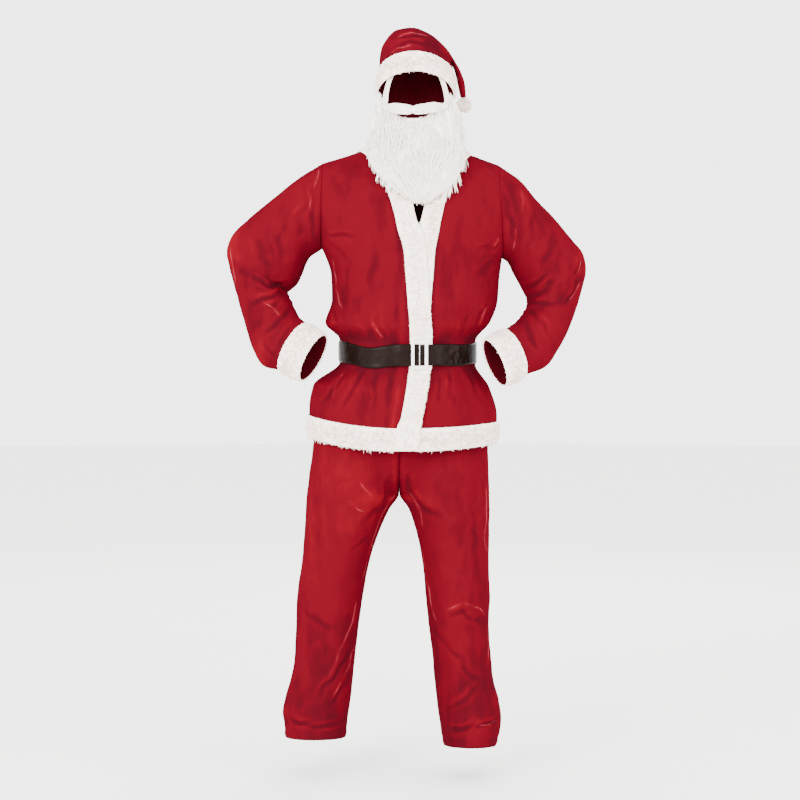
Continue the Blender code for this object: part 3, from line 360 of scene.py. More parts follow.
# The largest folds, one a line: where it starts and ends, its width and its height. Each is a ridge, or with
# a negative height a trough, and fades over its width to both sides.
Fold = namedtuple("Fold", "ends width height")
JACKET_FOLDS = table_of(
    Fold,
    """
    -215 -50 -235, -120 -120 -215: 20 7
    200 -50 -260, 130 -110 -225: 20 6
    -150 -110 -415, -170 -100 -330: 22 7
    -80 -140 -415, -90 -140 -350: 20 5
    90 -120 -415, 105 -130 -330: 22 5
    145 -80 -415, 165 -90 -340: 22 6
    -150 -80 -545, -205 -100 -640: 22 7
    -105 -120 -545, -135 -140 -640: 20 -6
    -70 -130 -545, -85 -150 -640: 18 6
    75 -120 -545, 85 -140 -640: 20 6
    115 -90 -545, 150 -100 -640: 22 -6
    -140 80 -415, -155 100 -320: 24 8
    -70 100 -415, -80 120 -310: 22 8
    10 100 -415, 10 120 -330: 22 7
    85 90 -415, 100 110 -310: 24 8
    -120 90 -545, -160 110 -640: 22 7
    -30 100 -545, -40 130 -640: 22 6
    60 90 -545, 80 120 -640: 22 7
    """,
)
SLEEVE_FOLDS = {
    Side.RIGHT: table_of(
        Fold,
        """
        -240 -60 -80, -262 -70 -190: 18 -8
        -300 -60 -150, -290 -50 -250: 22 7
        -320 -30 -330, -420 -30 -285: 16 -9
        -315 -50 -365, -410 -50 -340: 16 8
        -312 -60 -390, -390 -60 -420: 17 -7
        -340 -80 -440, -380 -70 -480: 20 6
        -320 90 -330, -420 100 -290: 18 -8
        -320 80 -370, -400 80 -370: 18 7
        """,
    ),
    Side.LEFT: table_of(
        Fold,
        """
        225 -60 -80, 245 -70 -200: 18 -8
        262 -60 -100, 272 -60 -230: 20 7
        275 -40 -345, 360 -40 -300: 18 8
        280 -50 -375, 385 -50 -350: 18 -9
        275 -60 -400, 350 -60 -420: 18 7
        290 -80 -460, 330 -70 -480: 20 -6
        285 90 -345, 380 100 -300: 18 -8
        280 80 -385, 360 80 -385: 18 7
        """,
    ),
}
TROUSER_FOLDS = table_of(
    Fold,
    """
    -60 -120 -800, -150 -120 -900: 24 8
    -70 -100 -850, -130 -110 -960: 20 -6
    -20 -120 -800, 80 -120 -880: 24 7
    -150 -80 -1120, -270 -50 -1060: 26 6
    -170 -80 -1200, -240 -80 -1330: 22 7
    -190 -80 -1370, -310 -30 -1385: 14 -7
    50 -100 -1100, 160 -90 -1040: 26 6
    70 -110 -1180, 170 -80 -1120: 24 -5
    80 -110 -1390, 190 -80 -1385: 15 -8
    70 -110 -1340, 150 -120 -1290: 20 6
    -60 110 -810, -180 110 -880: 26 9
    -20 110 -810, 100 100 -880: 26 9
    -170 80 -1090, -260 80 -1120: 24 -7
    60 70 -1090, 150 70 -1120: 24 -7
    -200 100 -1370, -300 90 -1360: 18 7
    90 70 -1380, 180 60 -1370: 18 7
    """,
)
HAT_FOLDS = table_of(
    Fold,
    """
    -60 -70 250, 40 -80 262: 14 6
    -50 -50 280, 60 -60 250: 12 -6
    20 80 250, 85 60 225: 16 6
    """,
)


def points(x: Array, y: Array, z: Array) -> Array:
    """One array of points from its coordinates."""
    return np.stack(np.broadcast_arrays(x, y, z), axis=-1).astype(float)


def unit(vectors: Array) -> Array:
    """The vectors at length 1."""
    return vectors / np.maximum(np.linalg.norm(vectors, axis=-1, keepdims=True), 1e-12)


def ramp(value: Array, start: float | Array, end: float | Array) -> Array:
    """0 before start, 1 after end, and smooth between them."""
    t = np.clip((np.asarray(value, float) - start) / (end - start), 0, 1)
    return t * t * (3 - 2 * t)


def tube(table: Profile, station: Array, angle: Array, hand: int) -> Array:
    """Loops about a bent line, as a sleeve or the hat has.

    Args:
        table: The tube's sections.
        station: Where along the tube each point is.
        angle: Degrees round the loop: 0 is the outer side and 90 the front.
        hand: -1 on the wearer's right and 1 on the left.

    Returns:
        The points.
    """
    row = table.at(station)
    angle = np.radians(angle)
    half_x, half_z = (row.outer_x - row.inner_x) / 2, (row.outer_z - row.inner_z) / 2
    long = np.hypot(half_x, half_z)
    along_x, along_z = hand * half_z / long, -hand * half_x / long
    turn = np.radians(row.turn)
    deep = points(-np.sin(turn) * along_x, -np.cos(turn), -np.sin(turn) * along_z)
    middle = points((row.outer_x + row.inner_x) / 2, row.mid_y, (row.outer_z + row.inner_z) / 2)
    across = points(half_x, 0, half_z) * np.cos(angle)[..., None]
    return middle + across + deep * (row.half_depth * np.sin(angle))[..., None]


def armhole(side: Side, angle: Array) -> Array:
    """The ring where a sleeve is sewn in: 0 at the shoulder, 180 at the underarm, positive over the front."""
    return tube(SLEEVES[side], np.zeros(np.shape(angle)), angle, side.value)


def armhole_lean(side: Side, angle: Array) -> Array:
    """The direction that body and sleeve share at the armhole: square to both where they meet.

    Args:
        side: Which armhole.
        angle: Degrees round it, as for armhole.

    Returns:
        The directions.
    """
    turned = np.radians(angle)
    table = SLEEVES[side].at(0)
    half_height = (table.outer_z - table.inner_z) / 2
    high, deep = np.cos(turned) / half_height, np.sin(turned) / table.half_depth
    size = np.hypot(high, deep)
    outward = 0.35 + np.where(np.cos(turned) > 0, 0.15, 0.65) * np.cos(turned) ** 2
    return unit(points(side.value * outward, -deep / size, high / size))


def torso(station: Array, across: Array, front: bool) -> Array:
    """The jacket body.

    Args:
        station: Rows, counted up from the hem.
        across: From -1 at the wearer's right side to 1 at the left.
        front: Whether the points are on the front or on the back.

    Returns:
        The points.
    """
    station, across = np.broadcast_arrays(np.asarray(station, float), np.asarray(across, float))
    row = TORSO.at(station)
    low = TORSO.at(np.minimum(station, UNDERARM))
    ring = 180 * (SHOULDER - station) / (SHOULDER - UNDERARM) * (1 if front else -1)
    on_right = (across < 0)[..., None]
    right, left = points(low.x_right, SIDE_Y, low.z_right), points(low.x_left, SIDE_Y, low.z_left)
    seam_line = np.where(on_right, right, left)
    on_ring = np.where(on_right, armhole(Side.RIGHT, ring), armhole(Side.LEFT, ring))
    end = np.where((station > UNDERARM)[..., None], on_ring, seam_line)
    arc = np.radians(row.arc)
    turned = np.abs(across) * arc
    sideways = np.sin(turned) / np.sin(arc)
    backward = (1 - np.cos(turned)) / (1 - np.cos(arc))
    y_mid, z_mid = (row.y_front, row.z_front) if front else (row.y_back, row.z_back)
    return points(
        row.mid_x + (end[..., 0] - row.mid_x) * sideways,
        y_mid + (end[..., 1] - y_mid) * backward,
        z_mid + (end[..., 2] - z_mid) * np.abs(sideways) ** row.lift,
    )


Surface = Callable[[Array, Array], Array]


def normals(surface: Surface, u: Array, v: Array, low: float, high: float, step: float = 2e-3) -> Array:
    """Unit normals of a surface.

    Args:
        surface: Points from two coordinates.
        u: First coordinate, kept between low and high.
        v: Second coordinate.
        low: Least u.
        high: Greatest u.
        step: How far apart the compared points are.

    Returns:
        The normals.
    """
    u, v = np.broadcast_arrays(np.asarray(u, float), np.asarray(v, float))
    along_u = surface(np.minimum(u + step, high), v) - surface(np.maximum(u - step, low), v)
    along_v = surface(u, v + step) - surface(u, v - step)
    return unit(np.cross(along_v, along_u))


def torso_normal(station: Array, across: Array, front: bool) -> Array:
    """Outward directions of the jacket body, turned to the shared ones at armholes and shoulders.

    Args:
        station: Rows of the body, counted up from the hem.
        across: From -1 at the wearer's right side to 1 at the left.
        front: Whether they are on the front.

    Returns:
        The directions.
    """
    station, across = np.broadcast_arrays(np.asarray(station, float), np.asarray(across, float))
    found = normals(lambda s, a: torso(s, a, front), station, across, HEM, SHOULDER) * (1 if front else -1)
    ring = 180 * (SHOULDER - station) / (SHOULDER - UNDERARM) * (1 if front else -1)
    ring = np.clip(ring, -180, 180)
    on_right = (across < 0)[..., None]
    shared = np.where(on_right, armhole_lean(Side.RIGHT, ring), armhole_lean(Side.LEFT, ring))
    near = ramp(np.abs(across), 0.9, 1.0) * ramp(station, UNDERARM - 0.3, UNDERARM)
    found = unit(found * (1 - near[..., None]) + shared * near[..., None])
    up = unit(points(np.where(across < 0, -0.33, 0.33), 0, 1))
    top = ramp(station, SHOULDER - 0.3, SHOULDER) * (1 - near)
    return unit(found * (1 - top[..., None]) + up * top[..., None])


def across_of(station: Array, x: Array) -> Array:
    """The across value where a row of the body has this x.

    Args:
        station: Rows of the body, counted up from the hem.
        x: Where in X.

    Returns:
        The across values.
    """
    row = TORSO.at(station)
    ring = np.clip(180 * (SHOULDER - np.asarray(station, float)) / (SHOULDER - UNDERARM), 0, 180)
    on_ring = np.asarray(station) > UNDERARM
    right = np.where(on_ring, armhole(Side.RIGHT, ring)[..., 0], row.x_right)
    left = np.where(on_ring, armhole(Side.LEFT, ring)[..., 0], row.x_left)
    away = x - row.mid_x
    share = np.abs(away) / np.abs(np.where(away < 0, right, left) - row.mid_x)
    arc = np.radians(row.arc)
    return np.sign(away) * np.arcsin(np.clip(share * np.sin(arc), 0, 1)) / arc


def fold_heights(at: Array, folds: Iterable[Fold]) -> Array:
    """How far the large folds move each point out: less than on the solids, as creases take up cloth too.

    Args:
        at: The points.
        folds: The folds.

    Returns:
        The heights.
    """
    height = np.zeros(at.shape[:-1])
    for fold in folds:
        start, end = np.array(fold.ends)
        line = end - start
        share = np.clip(((at - start) @ line) / (line @ line), 0, 1)
        away = np.linalg.norm(at - start - share[..., None] * line, axis=-1) / fold.width
        height += FOLD_SHARE * fold.height * np.exp(-away * away) * (1 - 0.35 * np.abs(2 * share - 1))
    return height


def still_at_trims(station: Array) -> Array:
    """1 where the body may fold, and 0 under the belt and at the hem band."""
    return ramp(np.abs(station - BELT_MIDDLE), 0.72, 1.25) * ramp(station, HEM_BAND_TOP, 1.3)


def front_x(side: Side, station: Array, share: Array) -> Array:
    """x of a front at this share of its band: 0 at the front edge, 1 at the band's seam.

    Args:
        side: Which front.
        station: Rows of the body, counted up from the hem.
        share: Where across the band.

    Returns:
        The x values.
    """
    row = TORSO.at(station)
    width = BAND_WIDTH.at(station).width
    if side is Side.RIGHT:
        return row.edge_right - share * width
    return row.edge_left + share * width * (1 - 0.13 * np.exp(-(((np.asarray(station) - 10.4) / 0.8) ** 2)))


def drawn_back(station: Array) -> Array:
    """The share of the front band by which its edge is rolled in where the neckline's V closes."""
    return 0.085 * ramp(station, 8.85, 9.15) * (1 - ramp(station, 10.1, 11.2))


def overlap_lift(station: Array, x: Array) -> Array:
    """How far the upper front stands off the body where it lies over the under front's band."""
    under = TORSO.at(station).edge_left
    return OVERLAP * ramp(x, under - 0.034, under - 0.012)


def leg_surface(side: Side, down: Array, share: Array) -> Array:
    """A trouser leg with its half of the seat. share runs from the front seam round the outside.

    Args:
        side: Which leg.
        down: How far below the origin.
        share: Where round the leg.

    Returns:
        The points.
    """
    row = LEGS[side].at(down)
    hip, turn = np.pi * share, 2 * np.pi * share
    half = np.where(share < 0.5, SIDE_Y - row.y_front, row.y_back - SIDE_Y)
    seat = points(row.inner_x + (row.outer_x - row.inner_x) * np.sin(hip), SIDE_Y - half * np.cos(hip), -down)
    lift = row.front_lift * np.maximum(np.sin(turn), 0)
    middle, reach = (row.outer_x + row.inner_x) / 2, (row.inner_x - row.outer_x) / 2
    leg = points(middle + reach * np.cos(turn), SIDE_Y - half * np.sin(turn), lift - down)
    below = np.clip((down - RISE_TOP_DOWN) / (CROTCH_DOWN - RISE_TOP_DOWN), 0, 1)
    beside_seam = np.exp(-((np.minimum(share, 1 - share) / 0.09) ** 2))
    slow = ramp(down, RISE_TOP_DOWN - 0.08, CROTCH_DOWN + 0.09)
    joined = (slow + (1 - np.sqrt(1 - below**2) - slow) * beside_seam)[..., None]
    return seat * (1 - joined) + leg * joined


def body_loop(station: Array, around: Array) -> Pair:
    """Points and normals right round the body at positions 0 to 4, from the middle of the front.

    Args:
        station: Rows of the body, counted up from the hem.
        around: Positions from 0 to 4; whole turns are taken off.

    Returns:
        Points and normals.
    """
    turn = np.mod(around, 4)
    on_front = (turn <= 1) | (turn >= 3)
    across = np.where(turn <= 1, turn, np.where(turn >= 3, turn - 4, 2 - turn))
    station, across = np.broadcast_arrays(station, across)
    on_front = np.broadcast_to(on_front, across.shape)[..., None]
    surface = np.where(on_front, torso(station, across, True), torso(station, across, False))
    normal = np.where(on_front, torso_normal(station, across, True), torso_normal(station, across, False))
    return surface, normal


def srgb(code: str) -> tuple[float, float, float, float]:
    """A colour from its hex code, as linear values."""
    parts = [int(code[i : i + 2], 16) / 255 for i in (1, 3, 5)]
    return (*(c / 12.92 if c <= 0.04045 else ((c + 0.055) / 1.055) ** 2.4 for c in parts), 1.0)


def per_metre(millimetres: float) -> float:
    """The texture scale whose features are about this far apart."""
    return 1000 / millimetres


def add_node(tree: Tree, kind: str, inputs: dict | None = None, **settings: object) -> Node:
    """Adds a node to a material.

    Args:
        tree: The material's nodes.
        kind: The node's type, without the ShaderNode before it.
        inputs: Values for its inputs by name or number. A socket is linked, and of a node the first output.
        settings: Its own settings.

    Returns:
        The node.
    """
    node = tree.nodes.new(f"ShaderNode{kind}")
    for name, value in settings.items():
        setattr(node, name, value)
    for name, value in (inputs or {}).items():
        value = value.outputs[0] if isinstance(value, Node) else value
        if isinstance(value, bpy.types.NodeSocket):
            tree.links.new(value, node.inputs[name])
        else:
            node.inputs[name].default_value = value
    return node


def new_material(name: str, **sockets: object) -> tuple[Material, Tree, Node, bpy.types.NodeSocket]:
    """A material with its shader's plain sockets set.

    Args:
        name: The material's name.
        sockets: Values for the shader's sockets, with _ for each space in a socket's name.

    Returns:
        The material, its nodes, its shader and the place on the piece.
    """
    made = bpy.data.materials.new(name)
    made.use_nodes = True
    tree = made.node_tree
    shader = tree.nodes["Principled BSDF"]
    for socket, value in sockets.items():
        shader.inputs[socket.replace("_", " ")].default_value = value
    return made, tree, shader, add_node(tree, "TexCoord").outputs["Object"]


@dataclass(frozen=True)
class Velour:
    """Polyester velour: a knit with a short cut pile, clouded at random, with painted highlights and shade.

    Ridges get painted highlights and the floors of folds get painted shade. Pale pink lines stand for
    flattened pile and for painted highlights, and the shader's sheen turns edges pink where the pile stands
    against the light. Two attributes of the cloth say where.
    The pile itself is 0.2 mm wide and is drawn at 1.3 mm.
    """

    name: str
    deep: str
    middle: str
    bright: str
    crushed_and_highlight: str
    sheen: float
    patch_mm: float = 60.0
    streak_mm: float = 17.0
    pile_mm: float = 1.3

    def make(self) -> Material:
        """Makes the material.

        Returns:
            The material.
        """
        made, tree, shader, place = new_material(
            self.name,
            Roughness=0.9,
            IOR=1.45,
            Specular_IOR_Level=0.0,
            Sheen_Weight=self.sheen,
            Sheen_Roughness=0.35,
            Sheen_Tint=srgb("#FF4668"),
        )
        fall = add_node(tree, "Mapping", {"Vector": place, "Scale": (1, 1, 0.42), "Rotation": (0.1, 0.25, 0)})
        patch_scale, streak_scale = per_metre(self.patch_mm), per_metre(self.streak_mm)
        patches = add_node(tree, "TexNoise", {"Vector": fall, "Scale": patch_scale, "Detail": 2.5})
        zones = add_node(tree, "MapRange", {0: patches, 1: 0.40, 2: 0.60}, **SMOOTH)
        streaks = add_node(
            tree, "TexNoise", {"Vector": fall, "Scale": streak_scale, "Detail": 3.0, "Roughness": 0.5}
        )
        # Painted highlights on ridges and painted shade in fold floors, from the cloth's attribute, over
        # random clouds and streaks
        relief_and_shade = add_node(tree, "Attribute", attribute_name="relief_and_shade").outputs["Fac"]
        clouded = add_node(tree, "Math", {0: zones, 1: 0.22, 2: relief_and_shade}, operation="MULTIPLY_ADD")
        tone_and_shading = add_node(tree, "Math", {0: streaks, 1: 0.30, 2: clouded}, operation="MULTIPLY_ADD")
        low = add_node(tree, "MapRange", {0: tone_and_shading, 1: 0.42, 2: 0.86}, **SMOOTH)
        dark = add_node(tree, "Mix", {0: low, 6: srgb(self.deep), 7: srgb(self.middle)}, **COLOURS).outputs[2]
        high = add_node(tree, "MapRange", {0: tone_and_shading, 1: 0.86, 2: 1.30}, **SMOOTH)
        lit = add_node(tree, "Mix", {0: high, 6: dark, 7: srgb(self.bright)}, **COLOURS).outputs[2]
        # Pale pink lines: flattened pile and painted highlights, broken up by the streaks
        rub_and_highlight = add_node(tree, "Attribute", attribute_name="crushed_and_highlight").outputs["Vector"]
        beside_line = add_node(tree, "SeparateXYZ", {0: rub_and_highlight}).outputs
        away = add_node(tree, "Math", {0: beside_line[0]}, operation="ABSOLUTE")
        near = add_node(tree, "MapRange", {0: away, 1: 0.16, 2: 0.0}, **SMOOTH)
        line = add_node(tree, "Math", {0: near, 1: beside_line[1]}, operation="MULTIPLY")
        patchy = add_node(tree, "MapRange", {0: streaks, 1: 0.34, 2: 0.68}, **SMOOTH)
        share = add_node(tree, "Math", {0: line, 1: patchy}, operation="MULTIPLY")
        worn_and_highlight = add_node(tree, "Mix", {0: share, 6: lit, 7: srgb(self.crushed_and_highlight)}, **COLOURS).outputs[2]
        tree.links.new(worn_and_highlight, shader.inputs["Base Color"])
        pile = add_node(tree, "TexNoise", {"Vector": place, "Scale": per_metre(self.pile_mm), "Detail": 2.0})
        both = add_node(tree, "Math", {0: streaks, 1: 1.2, 2: pile}, operation="MULTIPLY_ADD")
        relief = add_node(tree, "Bump", {"Height": both, "Distance": 0.0006, "Strength": 0.45})
        tree.links.new(relief.outputs[0], shader.inputs["Normal"])
        return made


@dataclass(frozen=True)
class Plush:
    """White polyester plush: 8 mm of soft, slightly matted fibres, matt, with a warm white in its depths."""

    name: str
    tip: str
    depth: str
    clump_mm: float = 14.0
    fibre_mm: float = 1.6

    def make(self) -> Material:
        """Makes the material.

        Returns:
            The material.
        """
        made, tree, shader, place = new_material(
            self.name, Roughness=0.95, IOR=1.5, Specular_IOR_Level=0.05, Sheen_Weight=0.1, Sheen_Roughness=0.6
        )
        clump, fibre = per_metre(self.clump_mm), per_metre(self.fibre_mm)
        clumps = add_node(tree, "TexNoise", {"Vector": place, "Scale": clump, "Detail": 4, "Roughness": 0.6})
        raised = add_node(tree, "MapRange", {0: clumps, 1: 0.34, 2: 0.60}, **SMOOTH)
        colour = add_node(tree, "Mix", {0: raised, 6: srgb(self.depth), 7: srgb(self.tip)}, **COLOURS)
        tree.links.new(colour.outputs[2], shader.inputs["Base Color"])
        fibres = add_node(tree, "TexNoise", {"Vector": place, "Scale": fibre, "Detail": 3.0})
        relief = add_node(tree, "Bump", {"Height": fibres, "Distance": 0.0010, "Strength": 0.6})
        tree.links.new(relief.outputs[0], shader.inputs["Normal"])
        return made


@dataclass(frozen=True)
class Hair:
    """White synthetic wig hair: fine crimped fibres with a soft gloss along the locks."""

    name: str
    tip: str
    depth: str
    fibre_mm: float = 1.1
    lock_mm: float = 12.0

    def make(self) -> Material:
        """Makes the material.

        Returns:
            The material.
        """
        made, tree, shader, place = new_material(
            self.name, Roughness=0.7, IOR=1.52, Specular_IOR_Level=0.12, Sheen_Weight=0.1, Sheen_Roughness=0.5
        )
        locks = add_node(tree, "TexNoise", {"Vector": place, "Scale": per_metre(self.lock_mm), "Detail": 3.0})
        raised = add_node(tree, "MapRange", {0: locks, 1: 0.32, 2: 0.60}, **SMOOTH)
        colour = add_node(tree, "Mix", {0: raised, 6: srgb(self.depth), 7: srgb(self.tip)}, **COLOURS)
        tree.links.new(colour.outputs[2], shader.inputs["Base Color"])
        along = add_node(tree, "Mapping", {"Vector": place, "Scale": (1, 1, 0.12)})
        fibre = per_metre(self.fibre_mm)
        fibres = add_node(tree, "TexNoise", {"Vector": along, "Scale": fibre, "Detail": 2.0})
        relief = add_node(tree, "Bump", {"Height": fibres, "Distance": 0.0006, "Strength": 0.4})
        tree.links.new(relief.outputs[0], shader.inputs["Normal"])
        return made


@dataclass(frozen=True)
class Vinyl:
    """Black vinyl on a woven backing: calendered, with a fine leather grain and a glossy top coat."""

    name: str
    colour: str
    rubbed_and_highlight: str
    grain_mm: float = 1.5
    wear_mm: float = 28.0

    def make(self) -> Material:
        """Makes the material.

        Returns:
            The material.
        """
        made, tree, shader, place = new_material(
            self.name,
            Roughness=0.36,
            IOR=1.53,
            Specular_IOR_Level=0.03,
            Coat_Weight=0.02,
            Coat_Roughness=0.12,
            Coat_IOR=1.5,
        )
        grain = add_node(tree, "TexVoronoi", {"Vector": place, "Scale": per_metre(self.grain_mm)})
        wear = add_node(tree, "TexNoise", {"Vector": place, "Scale": per_metre(self.wear_mm), "Detail": 5.0})
        worn_and_highlight = add_node(tree, "MapRange", {0: wear, 1: 0.45, 2: 0.75}, **SMOOTH)
        colour = add_node(tree, "Mix", {0: worn_and_highlight, 6: srgb(self.colour), 7: srgb(self.rubbed_and_highlight)}, **COLOURS)
        tree.links.new(colour.outputs[2], shader.inputs["Base Color"])
        rough = add_node(tree, "MapRange", {0: wear, 1: 0.3, 2: 0.7, 3: 0.26, 4: 0.46})
        tree.links.new(rough.outputs[0], shader.inputs["Roughness"])
        relief = add_node(tree, "Bump", {"Height": grain, "Distance": 0.0004, "Strength": 0.35})
        tree.links.new(relief.outputs[0], shader.inputs["Normal"])
        return made


@dataclass(frozen=True)
class SilveredPlastic:
    """Moulded plastic with a pale silver lacquer: bright, smooth and faintly clouded."""

    name: str
    colour: str
    cloud: str
    cloud_mm: float = 9.0

    def make(self) -> Material:
        """Makes the material.

        Returns:
            The material.
        """
        made, tree, shader, place = new_material(
            self.name, Metallic=0.35, Roughness=0.3, Coat_Weight=0.4, Coat_Roughness=0.12
        )
        cloud = per_metre(self.cloud_mm)
        clouds = add_node(tree, "TexNoise", {"Vector": place, "Scale": cloud, "Detail": 4.0})
        cloudy = add_node(tree, "MapRange", {0: clouds, 1: 0.4, 2: 0.7}, **SMOOTH)
        colour = add_node(tree, "Mix", {0: cloudy, 6: srgb(self.colour), 7: srgb(self.cloud)}, **COLOURS)
        tree.links.new(colour.outputs[2], shader.inputs["Base Color"])
        rough = add_node(tree, "MapRange", {0: clouds, 3: 0.22, 4: 0.38})
        tree.links.new(rough.outputs[0], shader.inputs["Roughness"])
        return made


@dataclass(frozen=True)
class PaintedFloor:
    """A studio floor with pale, rolled-on matt paint."""

    name: str = "pale studio floor"
    colour: str = "#F1EFEC"
    shade: str = "#EDEBE8"
    roll_mm: float = 300.0

    def make(self) -> Material:
        """Makes the material.

        Returns:
            The material.
        """
        made, tree, shader, place = new_material(self.name, Roughness=0.9, Specular_IOR_Level=0.2)
        roll = add_node(tree, "TexNoise", {"Vector": place, "Scale": per_metre(self.roll_mm), "Detail": 3.0})
        colour = add_node(tree, "Mix", {0: roll, 6: srgb(self.colour), 7: srgb(self.shade)}, **COLOURS)
        tree.links.new(colour.outputs[2], shader.inputs["Base Color"])
        return made


class Finish(Enum):
    """Every finish on the suit, with the record's slot that it stands for."""

    # Velour colours: deep, middle and bright follow random clouds and painted shade and highlights; the
    # fourth is the pale lines' pink
    RED_VELOUR = ("velour", Velour("red velour", "#3A0710", "#4D0711", "#5D0813", "#7E323A", 0.014))
    VELOUR_BACK = ("velour", Velour("velour knit back", "#30040B", "#3C060D", "#45070F", "#45070F", 0.01))
    WHITE_PLUSH = ("plush", Plush("white plush", "#FFF1E7", "#F4E1D6"))
    WHITE_HAIR = ("hair", Hair("white wig hair", "#FFF7EF", "#FBEDE4"))
    BLACK_VINYL = ("vinyl", Vinyl("black vinyl", "#100806", "#160C09"))
    SILVERED = ("silvered_metal", SilveredPlastic("silver lacquered buckle", "#F4F3F1", "#E2E0DD"))

    @property
    def slot(self) -> str:
        """The record's slot."""
        return self.value[0]

    def material(self) -> Material:
        """The finish's material, made once."""
        recipe = self.value[1]
        return bpy.data.materials.get(recipe.name) or recipe.make()


def beside(path: Line, at: Array) -> tuple[Array, Array, Array]:
    """Where points lie beside a line that is drawn in X and Z.

    Args:
        path: The line's points.
        at: The points.

    Returns:
        Their distance to the line, less than 0 on one side of it, the share of its length at that place, and
        whether they lie above it.
    """
    flat, path = at[..., (0, 2)], np.array(path)
    lengths = np.linalg.norm(np.diff(path, axis=0), axis=1)
    nearest, share, run = np.full(flat.shape[:-1], 1e9), np.zeros(flat.shape[:-1]), 0.0
    above = np.ones(flat.shape[:-1], bool)
    for start, end, length in zip(path, path[1:], lengths):
        line = end - start
        normal = np.array((-line[1], line[0]))
        upright = 1 if normal[1] - 0.4 * normal[0] > 0 else -1
        t = np.clip(((flat - start) @ line) / (line @ line), 0, 1)
        offset = flat - start - t[..., None] * line
        away = np.linalg.norm(offset, axis=-1)
        closer = away < np.abs(nearest)
        share = np.where(closer, (run + t * length) / lengths.sum(), share)
        above = np.where(closer, offset @ normal * upright > 0, above)
        nearest = np.where(closer, np.where(offset @ normal < 0, -away, away), nearest)
        run += length
    return nearest, share, above


@dataclass(frozen=True)
class Crease:
    """A fold, drawn on the cloth as a line of points in X and Z.

    The line is its rounded floor, or with a positive height its ridge; the cloth that it takes up swells
    beside it, most on the upper side.
    """

    path: Line
    width: float
    height: float

    def heights(self, at: Array, outward: Array) -> Array:
        """How far the crease moves each point out.

        Args:
            at: The points.
            outward: Their normals; only cloth that looks to the front moves.

        Returns:
            The heights.
        """
        away, share, above = beside(self.path, at)
        away = np.abs(away) / self.width
        swell = np.exp(-(((away - 1.9) / 1.05) ** 2)) * np.where(above, 0.55, 0.22)
        fade = ramp(share, 0, 0.3) * (1 - ramp(share, 0.62, 1)) ** 0.8
        return self.height * (np.exp(-(away**2)) - swell) * fade * ramp(-outward[..., 1], 0.05, 0.45)


def creases_at(at: Array, outward: Array, creases: Iterable[Crease]) -> Array:
    """The heights of several creases together, each a little crooked."""
    crooked = at + 0.0030 * np.stack([rumple(at, 0.045, 5), 0 * at[..., 0], rumple(at, 0.045, 6)], -1)
    return sum((crease.heights(crooked, outward) for crease in creases), np.zeros(at.shape[:-1]))


def crushed_and_highlight(at: Array, outward: Array, lines: Iterable[Line]) -> Array:
    """Pale lines of flattened pile and painted highlight, drawn in X and Z on the front.

    Args:
        at: The points.
        outward: Their normals.
        lines: The lines.

    Returns:
        For each point its distance to the nearest line in centimetres, with the side as its sign, then how
        much that line shows there, and 0.
    """
    crooked = at + 0.0010 * np.stack([rumple(at, 0.040, 7), 0 * at[..., 0], rumple(at, 0.040, 8)], -1)
    shown = np.zeros(at.shape)
    shown[..., 0] = 2.0
    for line in lines:
        away, share, _ = beside(line, crooked)
        closer = np.abs(away) * 100 < np.abs(shown[..., 0])
        here = ramp(share, 0, 0.15) * (1 - ramp(share, 0.8, 1)) * (1 - ramp(np.abs(away), 0.008, 0.014))
        shown[..., 0] = np.where(closer, away * 100, shown[..., 0])
        shown[..., 1] = np.where(closer, here, shown[..., 1])
    shown[..., 1] *= ramp(-outward[..., 1], 0.08, 0.35)
    return shown


def smoothed(field: Array, reach: int, wrapped: bool) -> Array:
    """The mean of a grid over this many cells to every side.

    Args:
        field: A grid of points.
        reach: How many cells.
        wrapped: Whether the last column joins the first.

    Returns:
        The means.
    """
    field = np.pad(field, ((0, 0), (reach, reach), (0, 0)), mode="wrap" if wrapped else "edge")
    field = np.pad(field, ((reach, reach), (0, 0), (0, 0)), mode="edge")
    for axis in (0, 1):
        count = field.shape[axis] - 2 * reach
        shifts = range(2 * reach + 1)
        field = sum(np.take(field, np.arange(k, k + count), axis=axis) for k in shifts) / len(shifts)
    return field


def fold_highlight_and_shade(grid: Array, outward: Array, wrapped: bool) -> Array:
    """Painted highlights and shade, about 0.5: lighter on a cloth's ridges and darker on the floors of its
    folds.

    Args:
        grid: The cloth's points.
        outward: Their normals.
        wrapped: Whether the last column joins the first.

    Returns:
        Values from 0 to 1.
    """
    cell = np.median(np.linalg.norm(np.diff(grid, axis=0), axis=-1))
    small, large = (max(1, int(round(reach / cell))) for reach in (FINE_FOLD, BROAD_FOLD))
    fine = ((grid - smoothed(grid, small, wrapped)) * outward).sum(-1)
    broad = ((grid - smoothed(grid, large, wrapped)) * outward).sum(-1)
    rows, columns = grid.shape[:2]
    down, over = np.arange(rows)[:, None], np.arange(columns)[None, :]
    to_edge = np.minimum(down, rows - 1 - down) + 0 * over
    if not wrapped:
        to_edge = np.minimum(to_edge, np.minimum(over, columns - 1 - over))
    inner = ramp(to_edge, small * 0.5, large)
    return np.clip(0.5 + (fine / 0.0095 + (broad - np.median(broad)) / 0.0340) * inner, 0, 1)


def rumple(at: Array, size: float, seed: int, stretch: Sequence[float] = (1, 1, 1), waves: int = 9) -> Array:
    """A smooth, uneven field with a spread of about 1.

    Args:
        at: Where to read it.
        size: How far apart its swells are, in metres.
        seed: Which field.
        stretch: Less than 1 on an axis draws the swells out along it.
        waves: How many waves are summed.

    Returns:
        The field's values.
    """
    draw = np.random.default_rng(SEED * 1000 + seed)
    total = np.zeros(at.shape[:-1])
    for _ in range(waves):
        way = unit(draw.normal(size=3)) * np.array(stretch) * 2 * np.pi / (size * draw.uniform(0.7, 1.6))
        total += np.sin(at @ way + draw.uniform(0, 2 * np.pi))
    return total * math.sqrt(2 / waves)


